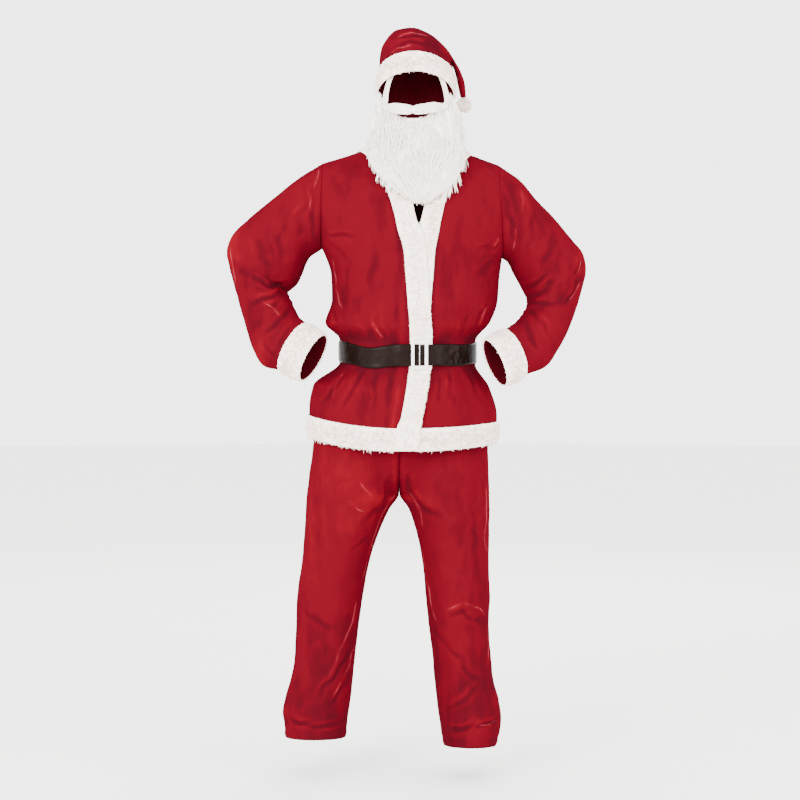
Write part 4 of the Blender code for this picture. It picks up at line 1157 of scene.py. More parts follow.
def trodden(at: Array, seed: int, stretch: Sequence[float] = (1, 1, 0.5)) -> Array:
    """Small irregular dents, as velour keeps from being packed: metres, mostly below 0.

    Args:
        at: The points.
        seed: Which dents.
        stretch: Less than 1 on an axis draws them out along it.

    Returns:
        The heights.
    """
    lines = np.abs(rumple(at, 0.055, seed, stretch))
    where = ramp(rumple(at, 0.12, seed + 1), -0.4, 0.9)
    return -0.0006 * np.exp(-((lines / 0.22) ** 2)) * where + 0.00022 * rumple(at, 0.045, seed + 2)


def lengths_along(grid: Array, axis: int) -> Array:
    """How far each point lies from the grid's first row or column, along the cloth.

    Args:
        grid: The points.
        axis: 0 down the columns, 1 along the rows.

    Returns:
        The lengths.
    """
    step = np.linalg.norm(np.diff(grid, axis=axis), axis=-1)
    run = np.cumsum(step, axis=axis)
    return np.concatenate([np.zeros_like(np.take(run, [0], axis=axis)), run], axis=axis)


def from_edges(grid: Array, *edges: str) -> Array:
    """Each point's distance to the nearest of the named edges: bottom, top, start and end.

    Args:
        grid: The points.
        edges: The edges' names.

    Returns:
        The distances.
    """
    down, over = lengths_along(grid, 0), lengths_along(grid, 1)
    away = {"bottom": down, "top": down[-1:] - down, "start": over, "end": over[:, -1:] - over}
    return np.minimum.reduce([away[edge] for edge in edges])


def seam(away: Array, along: Array, depth: float = 0.0009) -> Array:
    """The furrow of a sewn seam, with the small puckers that its thread draws beside it."""
    fine, coarse = (along * 2 * np.pi / gap for gap in PUCKERS)
    pucker = 1 + 0.35 * np.sin(fine) + 0.25 * np.sin(coarse + 1.3)
    swell = 0.6 * np.exp(-(((away - SWELL_OFF) / SWELL_WIDTH) ** 2))
    return depth * (swell - np.exp(-((away / SEAM_WIDTH) ** 2)) * pucker)


def even_keys(curve: Callable[[Array], Array], low: float, high: float, spacing: float) -> Array:
    """Keys from low to high whose points on the curve are about this far apart.

    Args:
        curve: Points from keys.
        low: The first key.
        high: The last key.
        spacing: The wanted distance.

    Returns:
        The keys.
    """
    keys = np.linspace(low, high, 800)
    run = lengths_along(curve(keys)[:, None], 0)[:, 0]
    count = max(2, int(round(run[-1] / spacing)) + 1)
    return np.interp(np.linspace(0, run[-1], count), run, keys)


def grid_normals(grid: Array, outward: Array, wrapped: bool) -> Array:
    """Normals of a grid of points, on the side that outward looks to.

    Args:
        grid: The points.
        outward: Rough outward directions.
        wrapped: Whether the last column joins the first.

    Returns:
        The normals.
    """
    along = np.gradient(grid, axis=0)
    if wrapped:
        across = (np.roll(grid, -1, axis=1) - np.roll(grid, 1, axis=1)) / 2
    else:
        across = np.gradient(grid, axis=1)
    found = unit(np.cross(across, along))
    return found * np.where((found * outward).sum(-1, keepdims=True) < 0, -1, 1)


def numbers(rows: int, columns: int, wrapped: bool) -> Array:
    """The numbers of a grid's points, with the first column again at the end if the grid is wrapped."""
    number = np.arange(rows * columns).reshape(rows, columns)
    return np.concatenate([number, number[:, :1]], axis=1) if wrapped else number


def quads(rows: int, columns: int, wrapped: bool) -> Array:
    """The corners of every square in a grid, as numbers of its points."""
    at = numbers(rows, columns, wrapped)
    return np.stack([at[:-1, :-1], at[:-1, 1:], at[1:, 1:], at[1:, :-1]], -1).reshape(-1, 4)


def halved(face: Array) -> Array:
    """Two triangles for each square."""
    return np.concatenate([face[:, [0, 1, 2]], face[:, [0, 2, 3]]])


def faces_inwards(verts: Array, face: Array, out: Array) -> bool:
    """Whether a grid's squares look away from the outward directions at their first corners."""
    a, b, c = (verts.reshape(-1, 3)[face[:, i]] for i in (0, 1, 2))
    return (np.cross(b - a, c - a) * out.reshape(-1, 3)[face[:, 0]]).sum() < 0


def tube_grid(keys: Array, columns: int) -> Pair:
    """The stations and the degrees of a grid round a tube."""
    rows, angles = np.meshgrid(keys, np.arange(columns) * 360 / columns, indexing="ij")
    return rows, angles


def pile_share(across: Array) -> Array:
    """The plush's height across a band, from edge to edge, as a share of its height in the middle."""
    return 0.30 + 0.70 * np.sin(np.pi * across) ** 0.35


def random_for(piece: int) -> np.random.Generator:
    """The random numbers of one piece."""
    return np.random.default_rng(SEED * 100 + piece)


def placed(data: bpy.types.Mesh, finish: Finish) -> Piece:
    """Shades a mesh smooth, gives it a finish and puts it in the scene.

    Args:
        data: The mesh.
        finish: Its finish.

    Returns:
        The object, under the mesh's name.
    """
    data.shade_smooth()
    data.materials.append(finish.material())
    made = bpy.data.objects.new(data.name, data)
    bpy.context.scene.collection.objects.link(made)
    return made


def new_object(name: str, verts: Array, faces: Sequence[Sequence[int]], finish: Finish) -> Piece:
    """A smooth-shaded object from points and faces.

    Args:
        name: Its name.
        verts: Its points.
        faces: Its faces, as numbers of points.
        finish: Its finish.

    Returns:
        The object.
    """
    data = bpy.data.meshes.new(name)
    data.from_pydata(np.asarray(verts, float).tolist(), [], [list(map(int, face)) for face in faces])
    data.validate()
    return placed(data, finish)


def select_only(*objects: Piece) -> None:
    """Selects these objects and nothing else; the last one is active.

    Args:
        objects: The objects.
    """
    if bpy.context.object and bpy.context.object.mode != "OBJECT":
        bpy.ops.object.mode_set(mode="OBJECT")
    bpy.ops.object.select_all(action="DESELECT")
    for one in objects:
        one.select_set(True)
        bpy.context.view_layer.objects.active = one


def apply_modifier(piece: Piece, kind: str, **settings: object) -> None:
    """Adds a modifier and applies it.

    Args:
        piece: The piece.
        kind: The modifier's type.
        settings: Its settings.
    """
    modifier = piece.modifiers.new(kind.title(), kind)
    for name, value in settings.items():
        setattr(modifier, name, value)
    select_only(piece)
    bpy.ops.object.modifier_apply(modifier=modifier.name)


def cloth(
    name: str,
    grid: Array,
    outward: Array,
    wrapped: bool = False,
    thick: float = CLOTH,
    rubbed_and_highlight: Iterable[Line] = (),
    shade: Array | float = 0.0,
) -> Piece:
    """A sheet of velour through a grid of points, with its thickness inwards.

    Args:
        name: The piece's name.
        grid: The outer side's points, in rows and columns.
        outward: Directions on the outer side.
        wrapped: Whether the last column joins the first.
        thick: The cloth's thickness.
        rubbed_and_highlight: Pale lines of flattened pile and painted highlight.
        shade: Painted shade that darkens it below other cloth; below 0, painted light that lightens it.

    Returns:
        The sheet, with a UV map in metres and the two attributes that place its painted highlights and shade.
    """
    rows, columns = grid.shape[:2]
    faces = quads(rows, columns, wrapped)
    turned = faces_inwards(grid, faces, outward)
    if turned:
        faces = faces[:, ::-1]
    piece = new_object(name, grid.reshape(-1, 3), faces, Finish.RED_VELOUR)
    # Pale lines of flattened pile and painted highlight, with a painted glow round them
    worn_and_highlight = crushed_and_highlight(grid, outward, rubbed_and_highlight)
    halo = np.exp(-((worn_and_highlight[..., 0] / 0.40) ** 2)) * worn_and_highlight[..., 1]
    # Painted highlights on ridges and painted shade in fold floors, less the painted shade given, plus a
    # painted glow round the pale lines
    tone_and_shading = fold_highlight_and_shade(grid, outward, wrapped) - shade + 0.34 * halo
    relief_and_shade = piece.data.attributes.new("relief_and_shade", "FLOAT", "POINT")
    relief_and_shade.data.foreach_set("value", tone_and_shading.reshape(-1).astype(np.float32))
    rub_and_highlight = piece.data.attributes.new("crushed_and_highlight", "FLOAT_VECTOR", "POINT")
    rub_and_highlight.data.foreach_set("vector", worn_and_highlight.reshape(-1).astype(np.float32))
    piece.data.materials.append(Finish.VELOUR_BACK.material())
    closed = np.concatenate([grid, grid[:, :1]], axis=1) if wrapped else grid
    down = lengths_along(closed, 0)
    over = lengths_along(closed, 1)
    place = np.stack([over, down], -1)
    corners = (place[:-1, :-1], place[:-1, 1:], place[1:, 1:], place[1:, :-1])
    uv = np.stack([corner.reshape(-1, 2) for corner in corners], axis=1)
    uv = uv[:, ::-1] if turned else uv
    layer = piece.data.uv_layers.new(name="cloth")
    layer.data.foreach_set("uv", uv.reshape(-1).astype(np.float32))
    apply_modifier(piece, "SOLIDIFY", thickness=thick, offset=-1.0, use_rim=True, material_offset=1)
    return piece


@dataclass(frozen=True)
class Tufts:
    """How a plush's pile stands: short closed spikes of three sides, bent over at the tip.

    bend is the share of its length at which a tuft bends. ragged is how much longer the pile hangs in clumps
    over the band's free edge, which is its first edge at -1 and its last at 1, as far as it lies below the Z
    in ragged_below.
    """

    spacing: float = 0.0025
    length: float = 0.0060
    root: float = 0.00108
    spread: float = 0.75
    bend: float = 0.58
    edge_lean: float = 0.9
    ragged: float = 0.0
    ragged_below: float = 9.0
    free_edge: int = -1

    def grow(self, at: Array, out: Array, lean: Array, scale: Array, draw: np.random.Generator) -> Pair:
        """Grows one tuft at each point.

        Args:
            at: The tufts' roots.
            out: Directions off the cloth.
            lean: Which way each tuft is combed, as a vector added to out.
            scale: Each tuft's share of the full length.
            draw: Random numbers.

        Returns:
            The points and the triangles.
        """
        count = len(at)
        wild = draw.normal(size=(count, 3)) * 0.30 * self.spread
        way = unit(out + lean + wild)
        bent = unit(out * 0.35 + lean * 1.7 + wild * 1.6 + way * 0.6)
        length = (self.length * scale * draw.uniform(0.65, 1.15, count))[:, None]
        side = unit(np.cross(way, draw.normal(size=(count, 3))))
        other = np.cross(way, side)
        turn = 2 * np.pi * np.arange(3) / 3
        ring = np.cos(turn)[None, :, None] * side[:, None] + np.sin(turn)[None, :, None] * other[:, None]
        root = self.root * draw.uniform(0.8, 1.25, count)[:, None, None]
        low = at[:, None] + ring * root
        high = (at + way * length * self.bend)[:, None] + ring * root * 0.72
        tip = at + way * length * self.bend + bent * length * 0.50
        verts = np.concatenate([low, high, tip[:, None]], axis=1).reshape(-1, 3)
        faces = [(2, 1, 0)]
        for i in range(3):
            j = (i + 1) % 3
            faces += [(i, j, 3 + j), (i, 3 + j, 3 + i), (3 + i, 3 + j, 6)]
        faces = np.array(faces)[None] + 7 * np.arange(count)[:, None, None]
        return verts, faces.reshape(-1, 3)


def triangle_object(name: str, parts: Sequence[Pair], finish: Finish) -> Piece:
    """One object from several sets of points and triangles, with its faces outwards already.

    Args:
        name: Its name.
        parts: The points and triangles of each set.
        finish: Its finish.

    Returns:
        The object.
    """
    verts, faces, start = [], [], 0
    for part_verts, part_faces in parts:
        verts.append(part_verts)
        faces.append(part_faces + start)
        start += len(part_verts)
    verts, faces = np.concatenate(verts), np.concatenate(faces)
    data = bpy.data.meshes.new(name)
    data.vertices.add(len(verts))
    data.vertices.foreach_set("co", verts.astype(np.float32).reshape(-1))
    data.loops.add(3 * len(faces))
    data.loops.foreach_set("vertex_index", faces.astype(np.int32).reshape(-1))
    data.polygons.add(len(faces))
    data.polygons.foreach_set("loop_start", np.arange(len(faces), dtype=np.int32) * 3)
    data.update(calc_edges=True)
    return placed(data, finish)


def shell(outer: Array, inner: Array, wrapped: bool) -> Pair:
    """A closed wall between two grids, as points and triangles that face outwards.

    Args:
        outer: The outer grid.
        inner: The inner grid.
        wrapped: Whether the last column joins the first.

    Returns:
        The points and the triangles.
    """
    rows, columns = outer.shape[:2]
    face, at, size = quads(rows, columns, wrapped), numbers(rows, columns, wrapped), rows * columns
    edges = [(at[0, :-1], at[0, 1:]), (at[-1, 1:], at[-1, :-1])]
    if not wrapped:
        edges += [(at[1:, 0], at[:-1, 0]), (at[:-1, -1], at[1:, -1])]
    rim = np.concatenate([np.stack(edge, -1) for edge in edges])
    if faces_inwards(outer, face, outer - inner):
        face, rim = face[:, ::-1], rim[:, ::-1]
    rim_face = np.stack([rim[:, 1], rim[:, 0], rim[:, 0] + size, rim[:, 1] + size], -1)
    face = np.concatenate([face, face[:, ::-1] + size, rim_face])
    return np.concatenate([outer.reshape(-1, 3), inner.reshape(-1, 3)]), halved(face)


@dataclass(frozen=True)
class PlushBand:
    """A strip of plush sewn on cloth: a matted ground and a tuft every couple of millimetres.

    The grid's columns run from edge to edge of the strip, unless rows_across says that its rows do.
    """

    name: str
    grid: Array
    outward: Array
    height: Array
    wrapped: bool = False
    rows_across: bool = False
    clear: float = GAP
    ground_share: float = 0.62
    least_height: float = 0.0012
    tufts: Tufts = Tufts()
    seed: int = 1

    def make(self) -> Piece:
        """The plush strip.

        Returns:
            The plush strip.
        """
        draw = random_for(self.seed)
        rise = np.maximum(self.height, self.least_height)
        lumps = 1 + 0.16 * rumple(self.grid, 0.011, self.seed + 40)
        lumps = lumps + 0.10 * rumple(self.grid, 0.028, self.seed + 41)
        ground = self.grid + self.outward * (self.clear + rise * self.ground_share * lumps)[..., None]
        inner = self.grid + self.outward * self.clear
        base = shell(ground, inner, self.wrapped)
        return triangle_object(self.name, [base, self.pile(ground, rise, draw)], Finish.WHITE_PLUSH)

    def pile(self, ground: Array, rise: Array, draw: np.random.Generator) -> Pair:
        """The tufts over the ground.

        Args:
            ground: The matted ground's upper side.
            rise: The plush's height at each point.
            draw: Random numbers.

        Returns:
            The points and the triangles.
        """
        rows, columns = ground.shape[:2]
        face = quads(rows, columns, self.wrapped)
        flat, out, high = ground.reshape(-1, 3), self.outward.reshape(-1, 3), rise.reshape(-1)
        a, b, c, d = (flat[face[:, i]] for i in range(4))
        area = np.linalg.norm(np.cross(c - a, d - b), axis=1) / 2
        weight = area * np.clip(high[face].mean(axis=1) / PILE, 0.60, 0.90)
        count = int(weight.sum() / self.tufts.spacing**2)
        chosen = draw.choice(len(face), count, p=weight / weight.sum())
        u, v = draw.uniform(0, 1, (2, count, 1))
        weights = ((1 - u) * (1 - v), u * (1 - v), u * v, (1 - u) * v)
        corner = face[chosen]
        at = sum(w * flat[corner[:, i]] for i, w in enumerate(weights))
        way = unit(sum(w * out[corner[:, i]] for i, w in enumerate(weights)))
        tall = sum(w[:, 0] * high[corner[:, i]] for i, w in enumerate(weights))
        if self.rows_across:
            place = (corner[:, 0] // columns + v[:, 0]) / (rows - 1)
            cross = unit((d - a)[chosen])
        else:
            place = (corner[:, 0] % columns + u[:, 0]) / (columns - 1)
            cross = unit((b - a)[chosen])
        to_edge = (2 * place - 1)[:, None]
        lean = cross * np.sign(to_edge) * np.abs(to_edge) ** 5 * self.tufts.edge_lean
        swirl = np.stack([rumple(at, 0.016, self.seed + 50 + k) for k in range(3)], -1)
        lean = lean + 0.34 * self.tufts.spread * swirl + np.array([0, 0, -0.12])
        at_edge = np.clip(to_edge[:, 0] * self.tufts.free_edge, 0, 1) ** 6
        at_edge = at_edge * (at[:, 2] < self.tufts.ragged_below)
        clump = np.clip(0.75 + 0.75 * rumple(at, 0.0085, self.seed + 60), 0, 2)
        share = np.clip(tall / PILE, 0.35, 1.0) + self.tufts.ragged * at_edge * clump
        return self.tufts.grow(at - way * 0.0008, way, lean, share, draw)


def ring_band(name: str, grid: Array, out: Array, tufts: Tufts, seed: int) -> Piece:
    """The plush round a sleeve's or the hat's end, whose free edge it covers.

    Args:
        name: The piece's name.
        grid: The cloth's points under it, in rings.
        out: Their normals.
        tufts: Its pile.
        seed: Which random numbers.

    Returns:
        The plush strip.
    """
    end, beside_end = (-1, -2) if tufts.free_edge > 0 else (0, 1)
    grid[end] += unit(grid[end] - grid[beside_end]) * EDGE_COVER
    height = PILE * pile_share(np.linspace(0, 1, len(grid)))[:, None] * np.ones(grid.shape[:2])
    return PlushBand(name, grid, out, height, wrapped=True, rows_across=True, tufts=tufts, seed=seed).make()


def hair_locks(paths: Array, out: Array, wide: Array, flat: float = 0.55) -> Pair:
    """Tapered locks of three sides along paths.

    Args:
        paths: For each lock its points, from root to tip.
        out: For each lock the direction off the skin, or one for each of its points.
        wide: For each lock its greatest half width.
        flat: Its thickness as a share of its width.

    Returns:
        The points and the triangles.
    """
    count, steps = paths.shape[:2]
    out = out if out.ndim == 3 else np.broadcast_to(out[:, None], paths.shape)
    along = unit(np.gradient(paths, axis=1))
    side = unit(np.cross(along, out))
    up = np.cross(side, along)
    t = np.linspace(0, 1, steps)
    taper = np.minimum(1, 0.45 + 3 * t) * (1 - t**2.4) ** 0.8
    turn = 2 * np.pi * np.arange(3) / 3
    radius = wide[:, None] * taper[None, :]
    ring = side[:, :, None] * np.cos(turn)[:, None] + up[:, :, None] * (flat * np.sin(turn))[:, None]
    verts = (paths[:, :, None] + ring * radius[..., None, None])[:, :-1].reshape(count, -1, 3)
    verts = np.concatenate([verts, paths[:, -1:]], axis=1)
    faces, tip = [(2, 1, 0)], 3 * (steps - 1)
    for a in range(0, tip - 3, 3):
        for j, k in ((0, 1), (1, 2), (2, 0)):
            faces += [(a + j, a + k, a + 3 + k), (a + j, a + 3 + k, a + 3 + j)]
    faces += [(tip - 3, tip - 2, tip), (tip - 2, tip - 1, tip), (tip - 1, tip - 3, tip)]
    faces = np.array(faces)[None] + (tip + 1) * np.arange(count)[:, None, None]
    return verts.reshape(-1, 3), faces.reshape(-1, 3)


def outwards(part: Pair) -> Pair:
    """The same closed shapes with their faces turned outwards, by the sign of their volume.

    Args:
        part: Points and triangles.

    Returns:
        The same points, and the triangles turned if they had to be.
    """
    verts, faces = part
    a, b, c = verts[faces[:, 0]], verts[faces[:, 1]], verts[faces[:, 2]]
    middle = verts.mean(axis=0)
    volume = (np.cross(a - middle, b - middle) * (c - middle)).sum()
    return (verts, faces[:, ::-1]) if volume < 0 else part


def settle(piece: Piece, finish: Finish, *nodes: str) -> Piece:
    """Hides the CAD nodes that a piece stands for, hangs it on the root and logs its triangles.

    Args:
        piece: The piece.
        finish: Its finish; not used.
        nodes: The CAD nodes.

    Returns:
        The piece.
    """
    if nodes:
        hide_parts(*nodes)
    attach(piece, "root")
    piece.data.calc_loop_triangles()
    log.info("%s: %d triangles", piece.name, len(piece.data.loop_triangles))
    return piece


# Creases of the cloth, one a line: its points in X and Z, its width and its height
JACKET_CREASES = table_of(
    Crease,
    """
    -225 -203, -199 -205, -168 -206, -140 -214: 5.5 -2.8
    -218 -223, -187 -244, -158 -278: 6.5 -1.8
    -203 -372, -194 -400, -184 -432: 5.5 -2.2
    -106 -385, -86 -425, -66 -470: 5.5 -1.8
    -132 -375, -115 -425, -106 -465: 6 -1.6
    -160 -518, -187 -559, -226 -612: 6 -3.4
    -118 -522, -152 -570, -190 -632: 5.5 -2.6
    -94 -518, -98 -566, -100 -628: 5 -2
    -60 -520, -66 -560, -73 -605: 5 -1.4
    47 -522, 52 -560, 60 -612: 5 -1.8
    78 -522, 83 -570, 86 -628: 5 -2.2
    126 -520, 140 -562, 160 -622: 6 -2
    176 -350, 157 -405, 137 -445: 5.5 -2.2
    124 -385, 112 -425, 104 -462: 5.5 -1.8
    207 -222, 181 -228, 148 -246: 6 -2.4
    207 -258, 172 -280, 138 -318: 6.5 -1.8
    -153 -258, -170 -335, -184 -397: 10 -1.4
    -75 -158, -101 -240, -118 -345: 12 -1.4
    """,
)
SLEEVE_CREASES = {
    Side.RIGHT: table_of(
        Crease,
        """
        -227 -33, -244 -98, -255 -146, -246 -194, -230 -230: 5.5 -3
        -303 -327, -346 -320, -400 -305: 6 -4.8
        -305 -334, -353 -351, -408 -374: 6 -4.4
        -307 -339, -336 -359, -362 -388: 5.5 -2.8
        -258 -98, -278 -153, -285 -230: 8 -2.2
        -316 -150, -326 -212, -310 -280: 9 -2
        -392 -184, -374 -252, -334 -300: 9 -2.2
        -295 -368, -330 -410, -378 -446: 6 -2.6
        -280 -396, -312 -442, -342 -495: 6 -2.6
        -376 -446, -352 -476, -320 -500: 5.5 -2.2
        """,
    ),
    Side.LEFT: table_of(
        Crease,
        """
        202 -38, 207 -105, 224 -153, 236 -189, 229 -237: 5.5 -3
        343 -302, 311 -331, 279 -362: 6 -4
        402 -252, 398 -278, 384 -303: 6 -3.6
        410 -283, 388 -331, 358 -380: 6 -4.2
        264 -358, 299 -367, 346 -363: 5.5 -3
        251 -333, 287 -324, 327 -296: 5.5 -2.8
        284 -136, 280 -194, 263 -262: 8 -2.2
        341 -184, 320 -242, 295 -291: 9 -2
        265 -377, 299 -411, 331 -452: 6 -2.6
        250 -401, 274 -440, 296 -492: 6 -2.6
        """,
    ),
}
TROUSER_CREASES = {
    Side.RIGHT: table_of(
        Crease,
        """
        -54 -765, -64 -808, -80 -862: 6.5 -2.6
        -47 -806, -84 -858, -140 -902: 6.5 -2.6
        -160 -965, -130 -944, -100 -926: 6 -2
        -143 -1186, -188 -1256, -252 -1334: 5.5 -3
        -155 -1252, -182 -1303, -214 -1346: 5.5 -2.8
        -312 -1368, -284 -1380, -246 -1379: 4.5 -3.8
        -258 -1386, -216 -1389, -175 -1376: 4.5 -3.2
        -288 -1094, -240 -1133, -176 -1152: 6.5 -1.8
        -226 -766, -238 -886, -243 -1026: 9 -1.8
        """,
    ),
    Side.LEFT: table_of(
        Crease,
        """
        -24 -770, -16 -810, 2 -860: 6.5 -2.6
        -27 -812, 16 -856, 74 -892: 6.5 -2.6
        70 -1122, 112 -1104, 160 -1140: 6 -3
        44 -1150, 75 -1190, 112 -1228: 6 -2.2
        76 -1388, 112 -1384, 146 -1372: 4.5 -4
        136 -1384, 168 -1374, 203 -1372: 4.5 -3.4
        70 -1346, 110 -1320, 152 -1280: 5.5 -2.4
        139 -767, 142 -912, 151 -1053: 9 -1.8
        80 -1190, 113 -1240, 166 -1290: 6.5 -2
        """,
    ),
}
HAT_CREASES = table_of(
    Crease,
    """
    -58 258, -44 266, -8 276, 35 270: 5 -3.6
    -58 240, -20 256, 45 246: 6 -2.8
    36 262, 60 236, 80 204, 96 163: 6 -3
    """,
)

# Pale lines of flattened pile and painted highlight, as points in X and Z
JACKET_RUBS_AND_HIGHLIGHTS = lines_of(
    """
    -203 -257, -193 -311, -189 -352, -179 -387
    -106 -411, -94 -430, -75 -454
    170 -373, 161 -392, 151 -421
    198 -207, 191 -224, 184 -233
    -175 -530, -191 -558, -206 -592
    """
)
SLEEVE_RUBS_AND_HIGHLIGHTS = {
    Side.RIGHT: lines_of(
        """
        -232 -34, -246 -90, -259 -145
        -451 -220, -451 -256, -436 -329
        -374 -358, -344 -379, -323 -401
        """
    ),
    Side.LEFT: lines_of(
        """
        251 -87, 256 -116, 256 -150
        239 -188, 237 -217, 232 -239
        402 -258, 397 -280, 390 -297
        402 -312, 388 -338, 366 -367
        """
    ),
}
TROUSER_RUBS_AND_HIGHLIGHTS = {
    Side.RIGHT: lines_of(
        """
        -36 -808, -66 -846, -91 -899, -111 -959, -131 -1044
        -144 -1080, -156 -1145, -190 -1218, -215 -1278
        -150 -1196, -166 -1254, -204 -1322
        -135 -793, -116 -817, -99 -839
        -162 -839, -140 -858, -121 -867
        """
    ),
    Side.LEFT: lines_of(
        """
        170 -798, 173 -855, 165 -928, 173 -976
        173 -1145, 180 -1194, 173 -1257
        14 -959, 28 -1048, 40 -1111, 57 -1148
        74 -1104, 110 -1082, 149 -1099, 171 -1123
        149 -1376, 176 -1380, 197 -1376
        -15 -819, 9 -863, 19 -911
        """
    ),
}
HAT_RUBS_AND_HIGHLIGHTS = lines_of(
    """
    -50 267, -29 277, -10 281, 9 279, 34 273
    -61 231, -44 241, -19 246, -2 248
    """
)


@dataclass
class Jacket:
    """The jacket body: two fronts, the back, and the plush on their edges."""

    spacing: float = 0.0050
    back_spacing: float = 0.0072
    band_columns: int = 12
    band_spacing: float = 0.006
    beyond_band: float = 0.27
    neck_columns: int = 52
    neck_rows: int = 9
    hem_columns: int = 52
    front_creases: tuple[Crease, ...] = JACKET_CREASES
    rubbed_and_highlight: tuple[Line, ...] = JACKET_RUBS_AND_HIGHLIGHTS
    gather: float = 0.0022
    trimmed: float = 0.12

    def build(self) -> None:
        """Makes the fronts, the back and every plush band of the body."""
        self.right, self.left = self.front(Side.RIGHT), self.front(Side.LEFT)
        self.back = self.back_sheet()
        self.bands = [self.front_band(Side.RIGHT), self.front_band(Side.LEFT)]
        self.hem_band = self.hem()
        self.neck_band = self.neck()

    def shape(self, rows: Array, across: Array, front: bool) -> Pair:
        """The body's surface with its large folds, for cloth and for the plush on it.

        Args:
            rows: Stations.
            across: Positions across, of the same shape.
            front: Whether it is the front.

        Returns:
            Points and normals.
        """
        base = torso(rows, across, front)
        normal = torso_normal(rows, across, front)
        lift = fold_heights(base, JACKET_FOLDS) * still_at_trims(rows)
        if front:
            lift = lift * ramp(np.abs(across), 0, 0.3)
            lift = lift * (1 - ramp(rows, UNDERARM, UNDERARM + 0.5) * ramp(np.abs(across), 0.93, 1.0))
        return base + normal * lift[..., None], normal

    @staticmethod
    def ease(grid: Array, out: Array, rows: Array, across: Array) -> Pair:
        """Softens the cloth where the body's sections begin to turn into the armholes.

        Args:
            grid: The cloth's points.
            out: Their normals.
            rows: Their stations.
            across: Their positions across.

        Returns:
            Points and normals.
        """
        near = np.exp(-(((rows - UNDERARM - 0.1) / 0.6) ** 2)) * ramp(np.abs(across), 0.15, 0.40)
        hold = (near * (1 - ramp(np.abs(across), 0.94, 1.0)))[..., None]
        soft = smoothed(smoothed(grid, 3, False), 3, False)
        eased = grid + (soft - grid) * hold
        return eased, unit(out * (1 - near[..., None]) + grid_normals(soft, out, False) * near[..., None])

    def relief_and_shade(self, at: Array, out: Array, rows: Array, seed: int) -> Array:
        """Creases, gathers beside the belt and packing dents of the body's cloth, in metres.

        Args:
            at: Points on the cloth.
            out: Their normals.
            rows: Their stations.
            seed: Which dents.

        Returns:
            The heights.
        """
        height = creases_at(at, out, self.front_creases)
        belt_z = at[..., 2] + 0.485
        above, below = np.exp(-np.abs(belt_z - 0.03) / 0.055), np.exp(-np.abs(belt_z + 0.035) / 0.085)
        near = np.where(belt_z > 0, above, below) * ramp(np.abs(belt_z), 0.022, 0.05)
        around = np.arctan2(at[..., 0] + 0.02, -at[..., 1]) / np.pi * 62
        pleats = np.sin(around + 2.2 * np.sin(around * 0.37) + at[..., 2] * 9 + seed)
        hidden = 0.7 if seed == 3 else np.where(belt_z > 0, 0.16, 0.26)
        height = height + self.gather * hidden * pleats * near
        return (height + 0.65 * trodden(at, 10 * seed)) * ramp(np.abs(rows - BELT_MIDDLE), 0.45, 0.75)

    def front(self, side: Side) -> Piece:
        """One front, from its edge to the side seam, the armhole and the shoulder.

        Args:
            side: Which front.

        Returns:
            The sheet.
        """
        keys = self.edge_keys(side, 1.0, self.spacing)
        rows, back = keys[:, None], drawn_back(keys)
        shares = [back + (1 - back) * share for share in np.linspace(0, 1, self.band_columns)]
        band = [across_of(keys, front_x(side, keys, share)) for share in shares]
        count = int(self.beyond_band / self.spacing)
        rest = [band[-1] + (side.value - band[-1]) * share for share in np.linspace(0, 1, count)[1:]]
        across = np.stack(band + rest, axis=1)
        rows = np.broadcast_to(rows, across.shape)
        grid, out = self.ease(*self.shape(rows, across, True), rows, across)
        lift = overlap_lift(rows, grid[..., 0]) if side is Side.RIGHT else 0
        grid = grid + out * (np.zeros(across.shape) + lift)[..., None]
        free = ramp(np.abs(across - band[0][:, None]), 0.12, 0.24) * ramp(rows, 0.7, 1.0)
        height = self.relief_and_shade(grid, out, rows, 1 if side is Side.RIGHT else 2) * free
        away, along = from_edges(grid, "top", "end"), lengths_along(grid, 0)
        height = height * ramp(away, 0, 0.02) + seam(away, along, 0.0004)
        over = lengths_along(grid, 1)
        height = height + seam(np.abs(over - over[:, len(band) - 1 : len(band)] - 0.002), along)
        grid = grid + out * height[..., None]
        grid[..., 1] -= GAP / 2
        return cloth(f"velour_front_{side.word}", grid, out, rubbed_and_highlight=self.rubbed_and_highlight)

    def back_sheet(self) -> Piece:
        """The back, in one piece.

        Returns:
            The sheet.
        """
        keys = even_keys(lambda k: torso(k, np.zeros_like(k), False), HEM, SHOULDER, self.back_spacing)
        half = np.concatenate([np.linspace(0, NECK_SHARE, 16), np.linspace(NECK_SHARE, 1, 28)[1:]])
        across = np.concatenate([-half[::-1], half[1:]])[None, :]
        inside = np.clip(np.abs(across) / NECK_SHARE, 0, 1)
        top = SHOULDER - NECK_DIP * np.sqrt(1 - inside**2)
        key = keys[:, None]
        above = UNDERARM + (key - UNDERARM) * (top - UNDERARM) / (SHOULDER - UNDERARM)
        rows = np.where(key <= UNDERARM, key, above)
        across = np.broadcast_to(across, rows.shape)
        grid, out = self.ease(*self.shape(rows, across, False), rows, across)
        free = ramp(rows, 0.7, 1.0)
        height = self.relief_and_shade(grid, out, rows, 3) * free
        away, along = from_edges(grid, "start", "end", "top"), lengths_along(grid, 0)
        height = height * ramp(away, 0, 0.02) + seam(away, along)
        grid = grid + out * height[..., None]
        grid[..., 1] += GAP / 2
        return cloth("velour_back", grid, out)

    @staticmethod
    def edge_keys(side: Side, share: float, spacing: float) -> Array:
        """Stations that lie evenly along a front, at this share of its band's width.

        Args:
            side: Which front.
            share: Where across its band.
            spacing: The wanted distance.

        Returns:
            The stations.
        """
        return even_keys(
            lambda k: torso(k, across_of(k, front_x(side, k, share)), True), HEM, SHOULDER, spacing
        )

